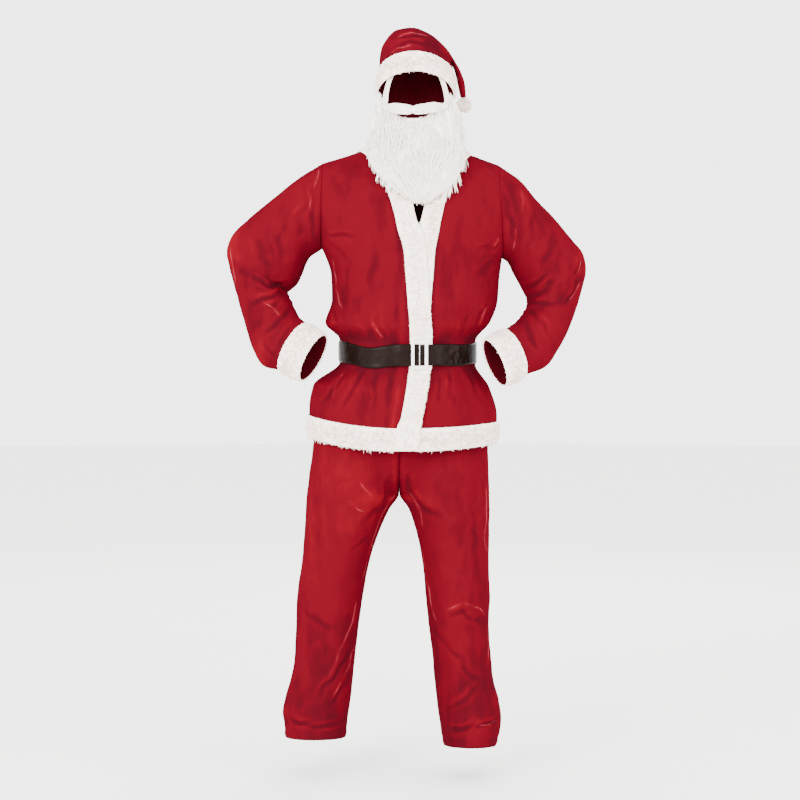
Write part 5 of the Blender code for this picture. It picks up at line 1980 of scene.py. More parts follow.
    def front_band(self, side: Side) -> Piece:
        """The plush down one front edge; the wearer's left one is pressed flat under the other front.

        Args:
            side: Which front.

        Returns:
            The plush strip.
        """
        keys = self.edge_keys(side, 0.5, self.band_spacing)
        rows, back = keys[:, None], drawn_back(keys)
        shares = np.linspace(0, 1, self.band_columns)
        inner = 1 - self.trimmed * ramp(keys, 0.85, 1.15) * (1 - ramp(keys, 8.0, 9.0)) * (side is Side.RIGHT)
        places = [front_x(side, keys, back + (inner - back) * share) for share in shares]
        across = np.stack([across_of(keys, place) for place in places], axis=1)
        rows = np.broadcast_to(rows, across.shape)
        grid, out = self.shape(rows, across, True)
        if side is Side.RIGHT:
            grid = grid + out * overlap_lift(rows, grid[..., 0])[..., None]
        grid[..., 1] -= GAP / 2
        above = rows - BELT_MIDDLE
        belted = 1 - ramp(np.where(above > 0, 0.80 * above, -above), 0.66, 0.95)
        if side is Side.RIGHT:
            full = PILE - (PILE - PRESSED_PILE) * belted
        else:
            over = TORSO.at(rows).edge_right
            shown = np.maximum(ramp(grid[..., 0], over + 0.010, over + 0.022), ramp(rows, 9.0, 9.5))
            full = PRESSED_PILE + (PILE - PRESSED_PILE) * shown * (1 - belted)
        height = full * pile_share(shares)[None, :]
        if side is Side.RIGHT:
            height = height * (1 - self.lengthwise_crease(rows, shares))
        crossing = ramp(rows[:, :1], 8.7, 9.1) * (1 - ramp(rows[:, :1], 10.2, 11.0))
        grid = self.widen(grid, 0.0012 * (1 - crossing))
        if side is Side.RIGHT:
            height = np.maximum(height, full * 0.72)
            grid, out, height = self.roll_edge(grid, out, height, 1 - crossing[:, 0])
        name = f"plush_front_{side.word}"
        tufts = Tufts(edge_lean=0.3)
        if side is Side.RIGHT:
            tufts = Tufts(length=0.0044, edge_lean=0.12, ragged=0.30, ragged_below=-0.5)
        return PlushBand(name, grid, out, height, tufts=tufts, seed=3 if side is Side.RIGHT else 4).make()

    @staticmethod
    def lengthwise_crease(rows: Array, shares: Array) -> Array:
        """How much of its height the front plush loses along the soft crease below the belt.

        Args:
            rows: Stations.
            shares: Where across the band.

        Returns:
            The lost shares.
        """
        line = 0.50 + 0.04 * np.sin(2.1 * rows)
        lost = 0.42 * np.exp(-(((shares - line) / 0.075) ** 2))
        return lost * ramp(rows, 0.25, 0.7) * (1 - ramp(rows, 2.3, 2.7))

    @staticmethod
    def roll_edge(grid: Array, out: Array, height: Array, full: Array) -> tuple[Array, Array, Array]:
        """Rolls a band's first long edge over the cloth's edge, down to the band that lies under it.

        Args:
            grid: The band's points.
            out: Directions off the cloth.
            height: The plush's heights.
            full: How much of the roll each row gets, from 0 to 1.

        Returns:
            The same with two more columns.
        """
        beyond, up, edge = unit(grid[:, 0] - grid[:, 1]), out[:, 0], grid[:, 0]
        for aside, down, upright, tall in ((0.0010, 0.0010, 0.75, 0.0062), (0.0016, 0.0027, 0.15, 0.0046)):
            at = edge + (beyond * aside - up * down) * full[:, None]
            grid = np.concatenate([at[:, None], grid], axis=1)
            out = np.concatenate([unit(beyond + up * upright)[:, None], out], axis=1)
            height = np.concatenate([(0.0020 + (tall - 0.0020) * full)[:, None], height], axis=1)
        return grid, out, height

    @staticmethod
    def widen(grid: Array, by: Array | float) -> Array:
        """Moves a band's first and last columns outwards a little, as where its pile covers the cloth's edge.

        Args:
            grid: The band's points.
            by: How far, for each row; inwards where it is less than 0.

        Returns:
            The moved points.
        """
        grid = grid.copy()
        for end, beside in ((0, 1), (-1, -2)):
            grid[:, end] += unit(grid[:, end] - grid[:, beside]) * by
        return grid

    def hem(self) -> Piece:
        """The plush round the hem, from front band to front band.

        Returns:
            The plush strip.
        """
        shares, count, runs = np.linspace(0, 1, self.band_columns), self.hem_columns, []
        rows = np.linspace(HEM, HEM_BAND_TOP, self.band_columns)[:, None]
        starts = {side: across_of(rows, front_x(side, rows, 1.0)) for side in Side}
        right = starts[Side.RIGHT] + (-1 - starts[Side.RIGHT]) * np.linspace(0, 1, count)[None, :]
        back = np.broadcast_to(np.linspace(-1, 1, 2 * count)[None, :], (len(rows), 2 * count))
        left = starts[Side.LEFT] + (1 - starts[Side.LEFT]) * np.linspace(1, 0, count)[None, :]
        right_run = right[:, :-1]
        for across, front in ((right_run, True), (back, False), (left[:, 1:], True)):
            wide_rows = np.broadcast_to(rows, across.shape)
            at, way = self.shape(wide_rows, across, front)
            lift = overlap_lift(wide_rows, at[..., 0]) if across is right_run else np.zeros(across.shape)
            runs.append((at + way * lift[..., None], way))
        grid = np.concatenate([run[0] for run in runs], axis=1)
        out = np.concatenate([run[1] for run in runs], axis=1)
        grid = self.widen(grid, -2 * GAP)
        full = 0.45 + 0.55 * ramp(from_edges(grid, "start", "end"), 0, 0.008)
        height = PILE * pile_share(shares)[:, None] * full
        grid[0] += unit(grid[0] - grid[1]) * EDGE_COVER
        tufts = Tufts(ragged=0.75)
        return PlushBand("plush_hem", grid, out, height, rows_across=True, tufts=tufts, seed=5).make()

    def neck(self) -> Piece:
        """The plush round the back of the neck.

        Returns:
            The plush strip.
        """
        angles = np.radians(np.linspace(-90, 90, self.neck_columns))[:, None]
        shares = np.linspace(0, 1, self.neck_rows)[None, :]
        reach = NECK_SHARE + (NECK_BAND_SHARE - NECK_SHARE) * shares
        dip = NECK_DIP + (NECK_BAND_DIP - NECK_DIP) * shares
        across, station = reach * np.sin(angles), SHOULDER - dip * np.cos(angles)
        grid, out = torso(station, across, False), torso_normal(station, across, False)
        grid[..., 1] += GAP
        height = PILE * pile_share(shares) * np.ones(across.shape)
        return PlushBand("plush_neck", grid, out, height, clear=NECK_BAND_CLEAR, seed=6).make()

    def dress(self) -> None:
        """Hides the CAD parts that the body's pieces stand for and hangs the pieces on the root."""
        settle(self.right, Finish.RED_VELOUR, "jacket_front_right")
        settle(self.left, Finish.RED_VELOUR, "jacket_front_left")
        settle(self.back, Finish.RED_VELOUR, "jacket_back")
        settle(self.bands[0], Finish.WHITE_PLUSH, "front_band_right")
        settle(self.bands[1], Finish.WHITE_PLUSH, "front_band_left")
        settle(self.hem_band, Finish.WHITE_PLUSH, "hem_band")
        settle(self.neck_band, Finish.WHITE_PLUSH, "neck_band")


@dataclass
class Sleeve:
    """One sleeve with its plush cuff; the elbow is bent as with a hand on the hip."""

    side: Side
    creases: tuple[Crease, ...]
    rubbed_and_highlight: tuple[Line, ...]
    spacing: float = 0.0058
    columns: int = 98
    cuff_rows: int = 11
    cuff_columns: int = 64

    def surface(self, rows: Array, angles: Array) -> Pair:
        """The sleeve's surface with its large folds.

        Args:
            rows: Stations.
            angles: Degrees round the sleeve, of the same shape.

        Returns:
            Points and normals.
        """
        hand = self.side.value
        table = SLEEVES[self.side]
        grid = tube(table, rows, angles, hand)
        found = normals(lambda s, a: tube(table, s, a * 100, hand), rows, angles / 100, 0, CUFF_END) * hand
        signed = np.where(angles > 180, angles - 360, angles)
        near = (1 - ramp(rows, 0, 0.4))[..., None]
        found = unit(found * (1 - near) + armhole_lean(self.side, signed) * near)
        free = ramp(rows, 0.1, 0.6) * (1 - ramp(rows, 10.2, 10.9))
        grid = grid + found * (fold_heights(grid, SLEEVE_FOLDS[self.side]) * free)[..., None]
        grid[..., 0] += 0.3 * GAP * hand
        return grid, found

    def build(self) -> None:
        """Makes the sleeve and its cuff."""
        table, hand = SLEEVES[self.side], self.side.value
        keys = even_keys(lambda k: tube(table, k, np.full_like(k, 90.0), hand), 0, CUFF_END, self.spacing)
        rows, angles = tube_grid(keys, self.columns)
        grid, out = self.surface(rows, angles)
        free = ramp(rows, 0.15, 0.7) * (1 - ramp(rows, 10.3, 11.0))
        seed = 60 if self.side is Side.RIGHT else 70
        near_seam = ramp(rows, 0.02, 0.22) * (1 - ramp(rows, 10.3, 11.0))
        height = creases_at(grid, out, self.creases) * near_seam + trodden(grid, seed) * free
        elbow = np.exp(-(((rows - 6.3) / 1.6) ** 2)) * np.where(out[..., 1] > 0, 1, 0.25)
        height = height + 0.0012 * elbow * np.sin(rows * 7.5 + 1.5 * np.sin(np.radians(angles) * 2)) * free
        away = lengths_along(grid, 0)
        height = height + seam(away, lengths_along(grid, 1), 0.0004)
        under = np.minimum(np.abs(angles - 180), 180) / 360 * 0.55
        height = height + seam(under, away, 0.0010) * (1 - ramp(rows, 10.9, 11))
        grid = grid + out * height[..., None]
        self.sleeve = cloth(f"velour_sleeve_{self.side.word}", grid, out, wrapped=True, rubbed_and_highlight=self.rubbed_and_highlight)
        band = tube_grid(np.linspace(CUFF_SEAM, CUFF_END, self.cuff_rows), self.cuff_columns)
        tufts = Tufts(ragged=0.25, free_edge=1)
        self.cuff = ring_band(f"plush_cuff_{self.side.word}", *self.surface(*band), tufts, seed)

    def dress(self) -> None:
        """Hides the CAD parts that the sleeve and its cuff stand for and hangs them on the root."""
        settle(self.sleeve, Finish.RED_VELOUR, f"sleeve_{self.side.word}")
        settle(self.cuff, Finish.WHITE_PLUSH, f"cuff_{self.side.word}")


@dataclass
class Trousers:
    """Two straight legs sewn at the centre and the inseam, and a cased elastic at the waist."""

    creases: dict[Side, tuple[Crease, ...]]
    rubbed_and_highlight: dict[Side, tuple[Line, ...]]
    hems: dict[Side, float]
    spacing: float = 0.0064
    columns: int = 116
    hem_depth: float = 0.022
    waist_rows: int = 11
    waist_columns: int = 120
    ruffle_columns: int = 8

    def build(self) -> None:
        """Makes both legs and the waistband."""
        self.legs = {side: self.leg(side) for side in Side}
        self.waistband = self.elastic()

    def leg(self, side: Side) -> Piece:
        """One leg with its half of the seat.

        Args:
            side: Which leg.

        Returns:
            The sheet.
        """
        count = int((self.hems[side] - WAIST_DOWN) / self.spacing) + 1
        downs = np.linspace(WAIST_DOWN, self.hems[side], count)
        share = np.clip(np.linspace(0, 1, self.columns + 1), GAP / 2, 1 - GAP / 2)
        rows, shares = np.meshgrid(downs, share, indexing="ij")
        grid = leg_surface(side, rows, shares)
        out = normals(lambda d, s: leg_surface(side, d, s), rows, shares, 0.5, 1.46, 1e-3) * -side.value
        edge = np.minimum(shares, 1 - shares)
        free = ramp(rows, 0.75, 0.80) * ramp(edge, 0.0, 0.10)
        grid = grid + out * (fold_heights(grid, TROUSER_FOLDS) * free)[..., None]
        seed = 80 if side is Side.RIGHT else 90
        away = from_edges(grid, "start", "end")
        height = creases_at(grid, out, self.creases[side]) + 1.1 * trodden(grid, seed, (1, 1, 0.4))
        behind_knee = np.exp(-(((rows - 1.10) / 0.07) ** 2)) * ramp(out[..., 1], 0.2, 0.8)
        crush = np.sin(rows * 190 + 14 * shares + 2.2 * rumple(grid, 0.09, seed + 5))
        height = height + 0.0015 * behind_knee * crush * ramp(rumple(grid, 0.07, seed + 6), -1.2, 0.6)
        height = height * ramp(away, 0.0, 0.015) * ramp(rows, WAIST_DOWN + 0.03, WAIST_DOWN + 0.08)
        deeper = 1 + 0.8 * (1 - ramp(rows, 0.80, 0.84))
        height = height + seam(away, lengths_along(grid, 0), 0.0014) * deeper
        above_hem = self.hems[side] - rows
        height = height + 0.8 * seam(np.abs(above_hem - self.hem_depth), away)
        height = height - 0.0012 * np.exp(-((above_hem / 0.003) ** 2))
        side_line = np.abs(shares - 0.5) * 0.60
        height = height + seam(side_line, lengths_along(grid, 0), 0.0009)
        sewn_x = grid[:, (0, -1), 0]
        grid = grid + out * height[..., None]
        grid[:, (0, -1), 0] = np.where(rows[:, (0, -1)] < CROTCH_DOWN + 0.004, sewn_x, grid[:, (0, -1), 0])
        grid[..., 0] += GAP / 2 * side.value
        sewn = rows[:, (0, -1)] < CROTCH_DOWN - 0.001
        tight = LEGS[side].at(rows[:, (0, -1)]).inner_x + SEWN_GAP / 2 * side.value
        grid[:, (0, -1), 0] = np.where(sewn, tight, grid[:, (0, -1), 0])
        # Painted shade: the legs darker below the knee
        shade = 0.10 * ramp(rows, 1.00, 1.30)
        if side is Side.RIGHT:  # painted light: its upper thigh lighter
            shade = shade - 0.10 * (1 - ramp(rows, 0.98, 1.12))
        return cloth(f"velour_leg_{side.word}", grid, out, rubbed_and_highlight=self.rubbed_and_highlight[side], shade=shade)

    def elastic(self) -> Piece:
        """The waistband, gathered by the elastic inside it; the jacket covers it.

        Returns:
            The sheet.
        """
        share = np.linspace(0, 1, self.waist_columns + 1)[:-1]
        loop = np.concatenate(
            [leg_surface(Side.LEFT, WAIST_DOWN, share), leg_surface(Side.RIGHT, WAIST_DOWN, 1 - share)]
        )
        inward = unit(loop * (1, 1, 0) - (LEGS[Side.LEFT].at(WAIST_DOWN).inner_x, SIDE_Y, 0))
        up = np.linspace(0, 1, self.waist_rows)[:, None]
        rise = GAP + (WAISTBAND_WIDTH - GAP) * up
        turn = np.arange(2 * self.waist_columns) * 2 * np.pi / self.ruffle_columns
        ruffle = -0.0011 * (1 + np.sin(turn + 2 * np.sin(up * 3)))
        ruffle = ruffle * np.sin(np.pi * up) + 0.0007 * np.sin(up * 6 * np.pi) * np.sin(np.pi * up)
        grid = loop[None] + np.array([0, 0, 1.0]) * rise[..., None] + inward[None] * ruffle[..., None]
        out = np.broadcast_to(inward, grid.shape)
        return cloth("velour_waistband", grid, out, wrapped=True)

    def dress(self) -> None:
        """Hides the CAD parts that the legs and the waistband stand for and hangs them on the root."""
        for side, piece in self.legs.items():
            settle(piece, Finish.RED_VELOUR, f"trouser_leg_{side.word}")
        settle(self.waistband, Finish.RED_VELOUR, "waistband")


@dataclass
class Belt:
    """The vinyl strap, which sags a little at the front, and its frame buckle."""

    rows: int = 15
    columns: int = 250
    sag: float = 0.010
    width: float = 0.040
    height: float = 0.068
    bar: float = 0.0074
    thick: float = 0.0035
    strap_width: float = 0.053
    strap_span: float = 0.96
    pin: float = 0.0014
    buckle_x: float = 0.0055

    def build(self) -> None:
        """Makes the strap and the buckle."""
        self.buckle_at = float(across_of(BELT_MIDDLE, self.buckle_x))
        self.stack = OVERLAP + GAP + PRESSED_PILE
        self.strap = self.make_strap()
        self.buckle = self.make_buckle()

    def make_strap(self) -> Piece:
        """The strap, from the buckle round the waist and back.

        Returns:
            The strap.
        """
        around = np.linspace(self.buckle_at + GAP, self.buckle_at + 4 - GAP, self.columns)
        share = np.linspace(0, 1, self.rows)
        rows, turn = np.meshgrid(BELT_LOW + 0.02 + self.strap_span * share, around, indexing="ij")
        middle = body_loop(BELT_MIDDLE, around)[0]
        x_mid, front = middle[:, 0], middle[:, 1] < 0
        low = np.exp(-(((x_mid + 0.112) / 0.042) ** 2)) + 0.35 * np.exp(-(((x_mid - 0.105) / 0.035) ** 2))
        behind = 0.35 * np.sin(x_mid * 22) * np.exp(-((x_mid / 0.12) ** 2))
        drop = self.sag * np.where(front, low, behind)[None, :]
        wavy = 0.0012 * np.sin(around * 9.0 + 1.0)[None, :] * (2 * share[:, None] - 1)
        shifted = rows - (drop + wavy) / self.strap_width * self.strap_span
        surface, normal = body_loop(shifted, turn)
        edge = TORSO.at(BELT_MIDDLE).edge_right
        x = surface[..., 0]
        rise = ramp(x, edge - 0.108, edge - 0.064) * (1 - ramp(x, edge + 0.013, edge + 0.058))
        off = BELT_CLEAR + self.stack * rise * (surface[..., 1] < 0)
        flare = 0.0016 * ramp(np.abs(shifted - BELT_MIDDLE), 0.45, 0.75)
        at = surface + normal * off[..., None]
        facets = 0.0006 * np.abs(rumple(at, 0.034, 21)) + 0.0005 * rumple(at, 0.014, 22)
        cross = np.exp(-(((x - 0.098) / 0.020) ** 2)) * (surface[..., 1] < 0)
        facets = facets * (0.30 + 1.7 * cross)
        still = ramp(np.abs(x - self.buckle_x), 0.018, 0.032) * (surface[..., 1] < 0) + (surface[..., 1] >= 0)
        across = np.abs(2 * share[:, None] - 1)
        rounded = 1 - 0.75 * ramp(across, 0.90, 1.0)
        body = BELT_THICK * rounded * 0.92
        inner = at + normal * (flare + facets * still * 0.4)[..., None]
        outer = inner + normal * (body + facets * still * 0.6)[..., None]
        return triangle_object("belt_strap", [shell(outer, inner, False)], Finish.BLACK_VINYL)

    def make_buckle(self) -> Piece:
        """The buckle: a block drawn out to a plate, inset and bridged to a frame, with rounded bars.

        Returns:
            The buckle.
        """
        select_only()
        bpy.ops.mesh.primitive_cube_add(size=1, calc_uvs=False, location=(0, 0, 0))
        frame_piece = bpy.context.object
        frame_piece.name = "belt_buckle"
        frame_piece.data.name = "belt_buckle"
        frame_piece.scale = (self.width, self.thick, self.height)
        bpy.ops.object.transform_apply(location=False, rotation=False, scale=True)
        bpy.ops.object.mode_set(mode="EDIT")
        bpy.ops.mesh.select_mode(type="FACE")
        self.pick(frame_piece, lambda face: abs(face.normal.y) > 0.9)
        bpy.ops.mesh.inset(thickness=self.bar, use_even_offset=True)
        bpy.ops.mesh.bridge_edge_loops()
        bpy.ops.object.mode_set(mode="OBJECT")
        apply_modifier(frame_piece, "BEVEL", width=0.0011, segments=3, limit_method="ANGLE")
        select_only()
        bpy.ops.mesh.primitive_cube_add(size=1, calc_uvs=False, location=(0, 0, 0))
        pin = bpy.context.object
        pin.location.y = 0.0010
        pin.scale = (self.pin, self.thick * 0.5, self.height - 1.4 * self.bar)
        bpy.ops.object.transform_apply(location=False, rotation=False, scale=True)
        apply_modifier(pin, "BEVEL", width=0.0008, segments=3, limit_method="ANGLE")
        select_only(pin, frame_piece)
        bpy.ops.object.join()
        at, out = body_loop(BELT_MIDDLE, np.array([[self.buckle_at]]))
        reach = BELT_CLEAR + self.stack + BELT_THICK + 4 * GAP + self.thick / 2
        frame_piece.rotation_euler.z = math.atan2(out[0, 0][0], -out[0, 0][1])
        frame_piece.location = at[0, 0] + out[0, 0] * reach
        select_only(frame_piece)
        bpy.ops.object.transform_apply(location=True, rotation=True, scale=True)
        bpy.ops.object.shade_smooth_by_angle(angle=math.radians(40))
        frame_piece.data.materials.clear()
        frame_piece.data.materials.append(Finish.SILVERED.material())
        return frame_piece

    @staticmethod
    def pick(piece: Piece, wanted: Callable[[bmesh.types.BMFace], bool]) -> None:
        """Selects the faces that are wanted, in edit mode.

        Args:
            piece: The piece in edit mode.
            wanted: Whether a face is wanted.
        """
        bpy.ops.mesh.select_all(action="DESELECT")
        shape = bmesh.from_edit_mesh(piece.data)
        for face in shape.faces:
            face.select_set(wanted(face))
        bmesh.update_edit_mesh(piece.data)

    def dress(self) -> None:
        """Hides the strap's and buckle's CAD parts and hangs both on the root; the strap is stretched round
        the waist.
        """
        settle(self.strap, Finish.BLACK_VINYL, "belt")
        settle(self.buckle, Finish.SILVERED, "buckle")


@dataclass
class Hat:
    """The hat: crown and tail in one cut, the plush at its edge and the pompom at its tip."""

    creases: tuple[Crease, ...]
    rubbed_and_highlight: tuple[Line, ...]
    columns: int = 96
    band_rows: int = 11
    spacing: float = 0.0050
    thick: float = 0.0010
    pompom_at: tuple[float, float, float] = (0.1168, 0.0300, 0.1187)
    pompom_core: float = 0.0120
    pompom_reach: float = 0.0212
    pompom_tufts: int = 1500

    def surface(self, rows: Array, angles: Array) -> Pair:
        """The crown's surface with its large folds, and its normals.

        Args:
            rows: Stations.
            angles: Degrees round the hat, of the same shape.

        Returns:
            Points and normals.
        """
        grid = tube(HAT, rows, angles, 1)
        found = normals(lambda s, a: tube(HAT, s, a * 100, 1), rows, angles / 100, 0, HAT_END)
        spread_out = unit(grid - grid.mean(axis=1, keepdims=True))
        in_tail = 0.5 * ramp(rows, 7.0, 9.0)[..., None]
        found = unit(found * (1 - in_tail) + spread_out * in_tail)
        outer = np.cos(np.radians(angles))
        lift = fold_heights(grid, HAT_FOLDS) * ramp(rows, 1.0, 2.0) * ramp(outer, -0.5, 0)
        return grid + found * lift[..., None], found

    def build(self) -> None:
        """Makes the crown, the band and the pompom."""
        keys = even_keys(lambda k: tube(HAT, k, np.zeros_like(k), 1), 0, HAT_END, self.spacing)
        rows, angles = tube_grid(keys, self.columns)
        grid, out = self.surface(rows, angles)
        outer = np.cos(np.radians(angles))
        crown = ramp(rows, 1.1, 1.9) * (1 - ramp(rows, 6.5, 9.0)) * ramp(outer, -0.6, 0.1)
        height = (creases_at(grid, out, self.creases) + 0.8 * trodden(grid, 100)) * crown
        away = np.minimum(angles, 360 - angles) / 360 * 0.5
        sewn = ramp(rows, 1.2, 1.6)
        height = height + seam(away, lengths_along(grid, 0)) * sewn * (1 - ramp(rows, 7, 9))
        grid = grid + out * height[..., None]
        # Painted shade: the crown darker, fading out towards the tail
        shade = 0.32 * (1 - ramp(rows, 4.5, 7.0))
        self.crown = cloth(
            "velour_hat", grid, out, wrapped=True, thick=self.thick, rubbed_and_highlight=self.rubbed_and_highlight, shade=shade
        )
        band = tube_grid(np.linspace(0, 1, self.band_rows), self.columns)
        self.band = ring_band("plush_hat", *self.surface(*band), Tufts(ragged=0.35), 110)
        self.pompom = self.make_pompom()

    def make_pompom(self) -> Piece:
        """The pompom: a ball of cut fibre, a little uneven.

        Returns:
            The pompom.
        """
        draw = random_for(120)
        ball = bmesh.new()
        bmesh.ops.create_icosphere(ball, subdivisions=3, radius=self.pompom_core)
        core = np.array([v.co[:] for v in ball.verts])
        faces = np.array([[v.index for v in f.verts] for f in ball.faces])
        ball.free()
        core = core * (1 + 0.05 * rumple(core, 0.012, 121))[:, None]
        way = unit(draw.normal(size=(self.pompom_tufts, 3)))
        way = way[np.argsort(way[:, 2])]
        long = self.pompom_reach - self.pompom_core + 0.001
        tufts = Tufts(length=long, root=0.0011, spread=0.8)
        share = 0.94 + 0.10 * rumple(way * 0.02, 0.02, 122)
        swirl = 0.25 * np.stack([rumple(way * 0.02, 0.018, 123 + k) for k in range(3)], -1)
        grown = tufts.grow(way * self.pompom_core * 0.96, way, swirl, np.clip(share, 0.75, 1.08), draw)
        place = np.array(self.pompom_at)
        parts = [(core + place, faces), (grown[0] + place, grown[1])]
        return triangle_object("pompom", parts, Finish.WHITE_PLUSH)

    def dress(self) -> None:
        """Hides the CAD parts that the crown, band and pompom stand for and hangs them on the root."""
        settle(self.crown, Finish.RED_VELOUR, "hat_crown")
        settle(self.band, Finish.WHITE_PLUSH, "hat_band")
        settle(self.pompom, Finish.WHITE_PLUSH, "hat_pompom")


@dataclass
class Beard:
    """The wig beard: its pad with wavy locks, the moustache over it, and the whiskers up to the hat."""

    locks: int = 3500
    steps: int = 7
    clumps: int = 360
    lock_width: float = 0.0013
    pad_share: float = 0.74
    wisps: int = 150
    fringe: int = 230
    lip_locks: int = 340
    side_points: int = 15
    low_points: int = 70
    moustache_locks: int = 800
    whisker_locks: int = 330
    pad_rows: int = 46
    pad_columns: int = 70
    moustache_rows: int = 60
    moustache_sides: int = 20
    whisker_rows: int = 30
    whisker_columns: int = 9

    def skin(self, share: Array, across: Array) -> tuple[Array, Array, Array]:
        """The beard's back, its outward directions and its depth of hair there.

        Args:
            share: From the lip, 0, to the lowest locks, 1; more hangs below them, and less is above the lip.
            across: From -1 at the wearer's right to 1.

        Returns:
            Points, directions and depths.
        """
        share, across = np.broadcast_arrays(np.asarray(share, float), np.asarray(across, float))
        inside = np.clip(share, 0, 1)
        row = BEARD.at(inside)
        arc = np.radians(86 - 44 * ramp(inside, 0.3, 1.0))
        turn = np.clip(across, -1.05, 1.05) * arc
        rim = ramp(np.abs(across), 0.28, 0.822)
        beyond = np.maximum(share - 1, 0) + np.minimum(share, 0)
        back = points(
            row.mid_x + row.half_width * np.sin(turn) / np.sin(arc),
            row.y_mid + (row.y_edge - row.y_mid) * (1 - np.cos(turn)) / (1 - np.cos(arc)),
            row.z_mid + (row.z_edge - row.z_mid) * rim - beyond * 0.16,
        )
        out = unit(points(0.8 * np.sin(turn), -np.cos(turn) - 0.15, -0.25 * inside))
        depth = row.depth * (0.25 + 0.75 * np.cos(np.clip(across, -1, 1) * 1.45) ** 0.7)
        return back, out, depth

    def build(self) -> None:
        """Makes the beard, the moustache and both whiskers."""
        self.beard = self.make_beard()
        self.moustache = self.make_moustache()
        self.whiskers = {side: self.make_whisker(side) for side in Side}

    def make_beard(self) -> Piece:
        """The pad and its locks, which fall in loose clumps.

        Returns:
            The beard.
        """
        draw = random_for(7)
        down, over = np.linspace(0, 1, self.pad_rows), np.linspace(-1, 1, self.pad_columns)
        shares, across = np.meshgrid(down, over, indexing="ij")
        back, out, depth = self.skin(shares, across)
        lumps = 1 + 0.10 * rumple(back, 0.020, 130, (1, 1, 0.5))
        thin = 1 - 0.75 * ramp(shares, 0.86, 1.0)
        pad = outwards(shell(back + out * (depth * self.pad_share * lumps * thin)[..., None], back, False))
        start = draw.uniform(0, 1, self.locks) ** 0.85 * 0.90
        place = draw.uniform(-1.0, 1.0, self.locks)
        parts = [pad, self.fall(start, place, draw, self.lock_width, 0.0)]
        wisp_start, wisp_place = draw.uniform(0.25, 0.9, self.wisps), draw.uniform(-1.02, 1.02, self.wisps)
        parts.append(self.fall(wisp_start, wisp_place, draw, 0.0006, 0.0045))
        hand = np.where(draw.uniform(size=self.fringe) < 0.5, -1, 1)
        fringe_start = draw.uniform(0.40, 0.86, self.fringe)
        fringe_place = hand * draw.uniform(0.72, 1.0, self.fringe)
        parts.append(self.fall(fringe_start, fringe_place, draw, 0.0011, 0.0022))
        hand = np.where(draw.uniform(size=self.lip_locks) < 0.5, -1, 1)
        lip_place = hand * draw.uniform(0.10, 0.80, self.lip_locks)
        lip_top = 0.025 + 0.095 * ramp(np.abs(lip_place), 0.14, 0.40)
        lip_start = -lip_top * draw.uniform(0.55, 1.0, self.lip_locks)
        parts.append(self.fall(lip_start, lip_place - 0.05, draw, 0.0013, 0.0))
        parts.append(self.sprays(draw))
        return triangle_object("hair_beard", parts, Finish.WHITE_HAIR)

    def fall(
        self, start: Array, place: Array, draw: np.random.Generator, width: float, stray: float
    ) -> Pair:
        """Locks that fall down the beard.

        Args:
            start: Where each lock starts, as a share.
            place: Where across it starts.
            draw: Random numbers.
            width: Greatest half width of a lock.
            stray: How far it wanders off on its own.

        Returns:
            The points and the triangles.
        """
        count = len(start)
        t = np.linspace(0, 1, self.steps)[None, :]
        long = draw.uniform(0.20, 0.40, count)[:, None]
        heads = draw.uniform((0, -1), (0.95, 1), (self.clumps, 2))
        gap = (heads[None, :, 0] - start[:, None]) ** 2 * 2 + (heads[None, :, 1] - place[:, None]) ** 2
        own = heads[np.argmin(gap, axis=1)]
        share = start[:, None] + long * t
        limit = 1.0 + 0.075 * draw.uniform(0.0, 1.0, count)[:, None]
        share = np.minimum(share, limit - (1 - t) * 0.05)
        pull = 0.55 * t**1.4
        across = place[:, None] * (1 - pull) + own[:, 1:2] * pull
        phase = 9 * own[:, :1] + 5 * own[:, 1:2]
        wave = np.sin(t * 7.5 + phase + 1.5 * place[:, None])
        crimp = np.sin(t * 17 + 2.3 * phase)
        wild = (0.012 + stray * 6) * draw.normal(size=(count, 1)) * t
        across = across + (0.034 * wave + 0.014 * crimp) * (0.3 + t) + wild
        at, out, depth = self.skin(share, across)
        top = depth * (self.pad_share + 0.34 * draw.uniform(0, 1, count)[:, None])
        bulge = np.sin(np.pi * np.clip(t * 0.9 + 0.05, 0, 1))
        height = top * (0.75 + 0.25 * bulge) + 0.0022 * np.sin(t * 6.5 + phase) + stray * bulge
        height = height * (1 - 0.35 * t**2) - 0.0030 * (1 - ramp(t, 0, 0.25))
        paths = at + out * height[..., None]
        paths = paths + (stray * 0.5 * draw.normal(size=(count, 3)))[:, None] * t[..., None]
        wide = width * draw.uniform(0.6, 1.35, count)
        return outwards(hair_locks(paths, out, wide))

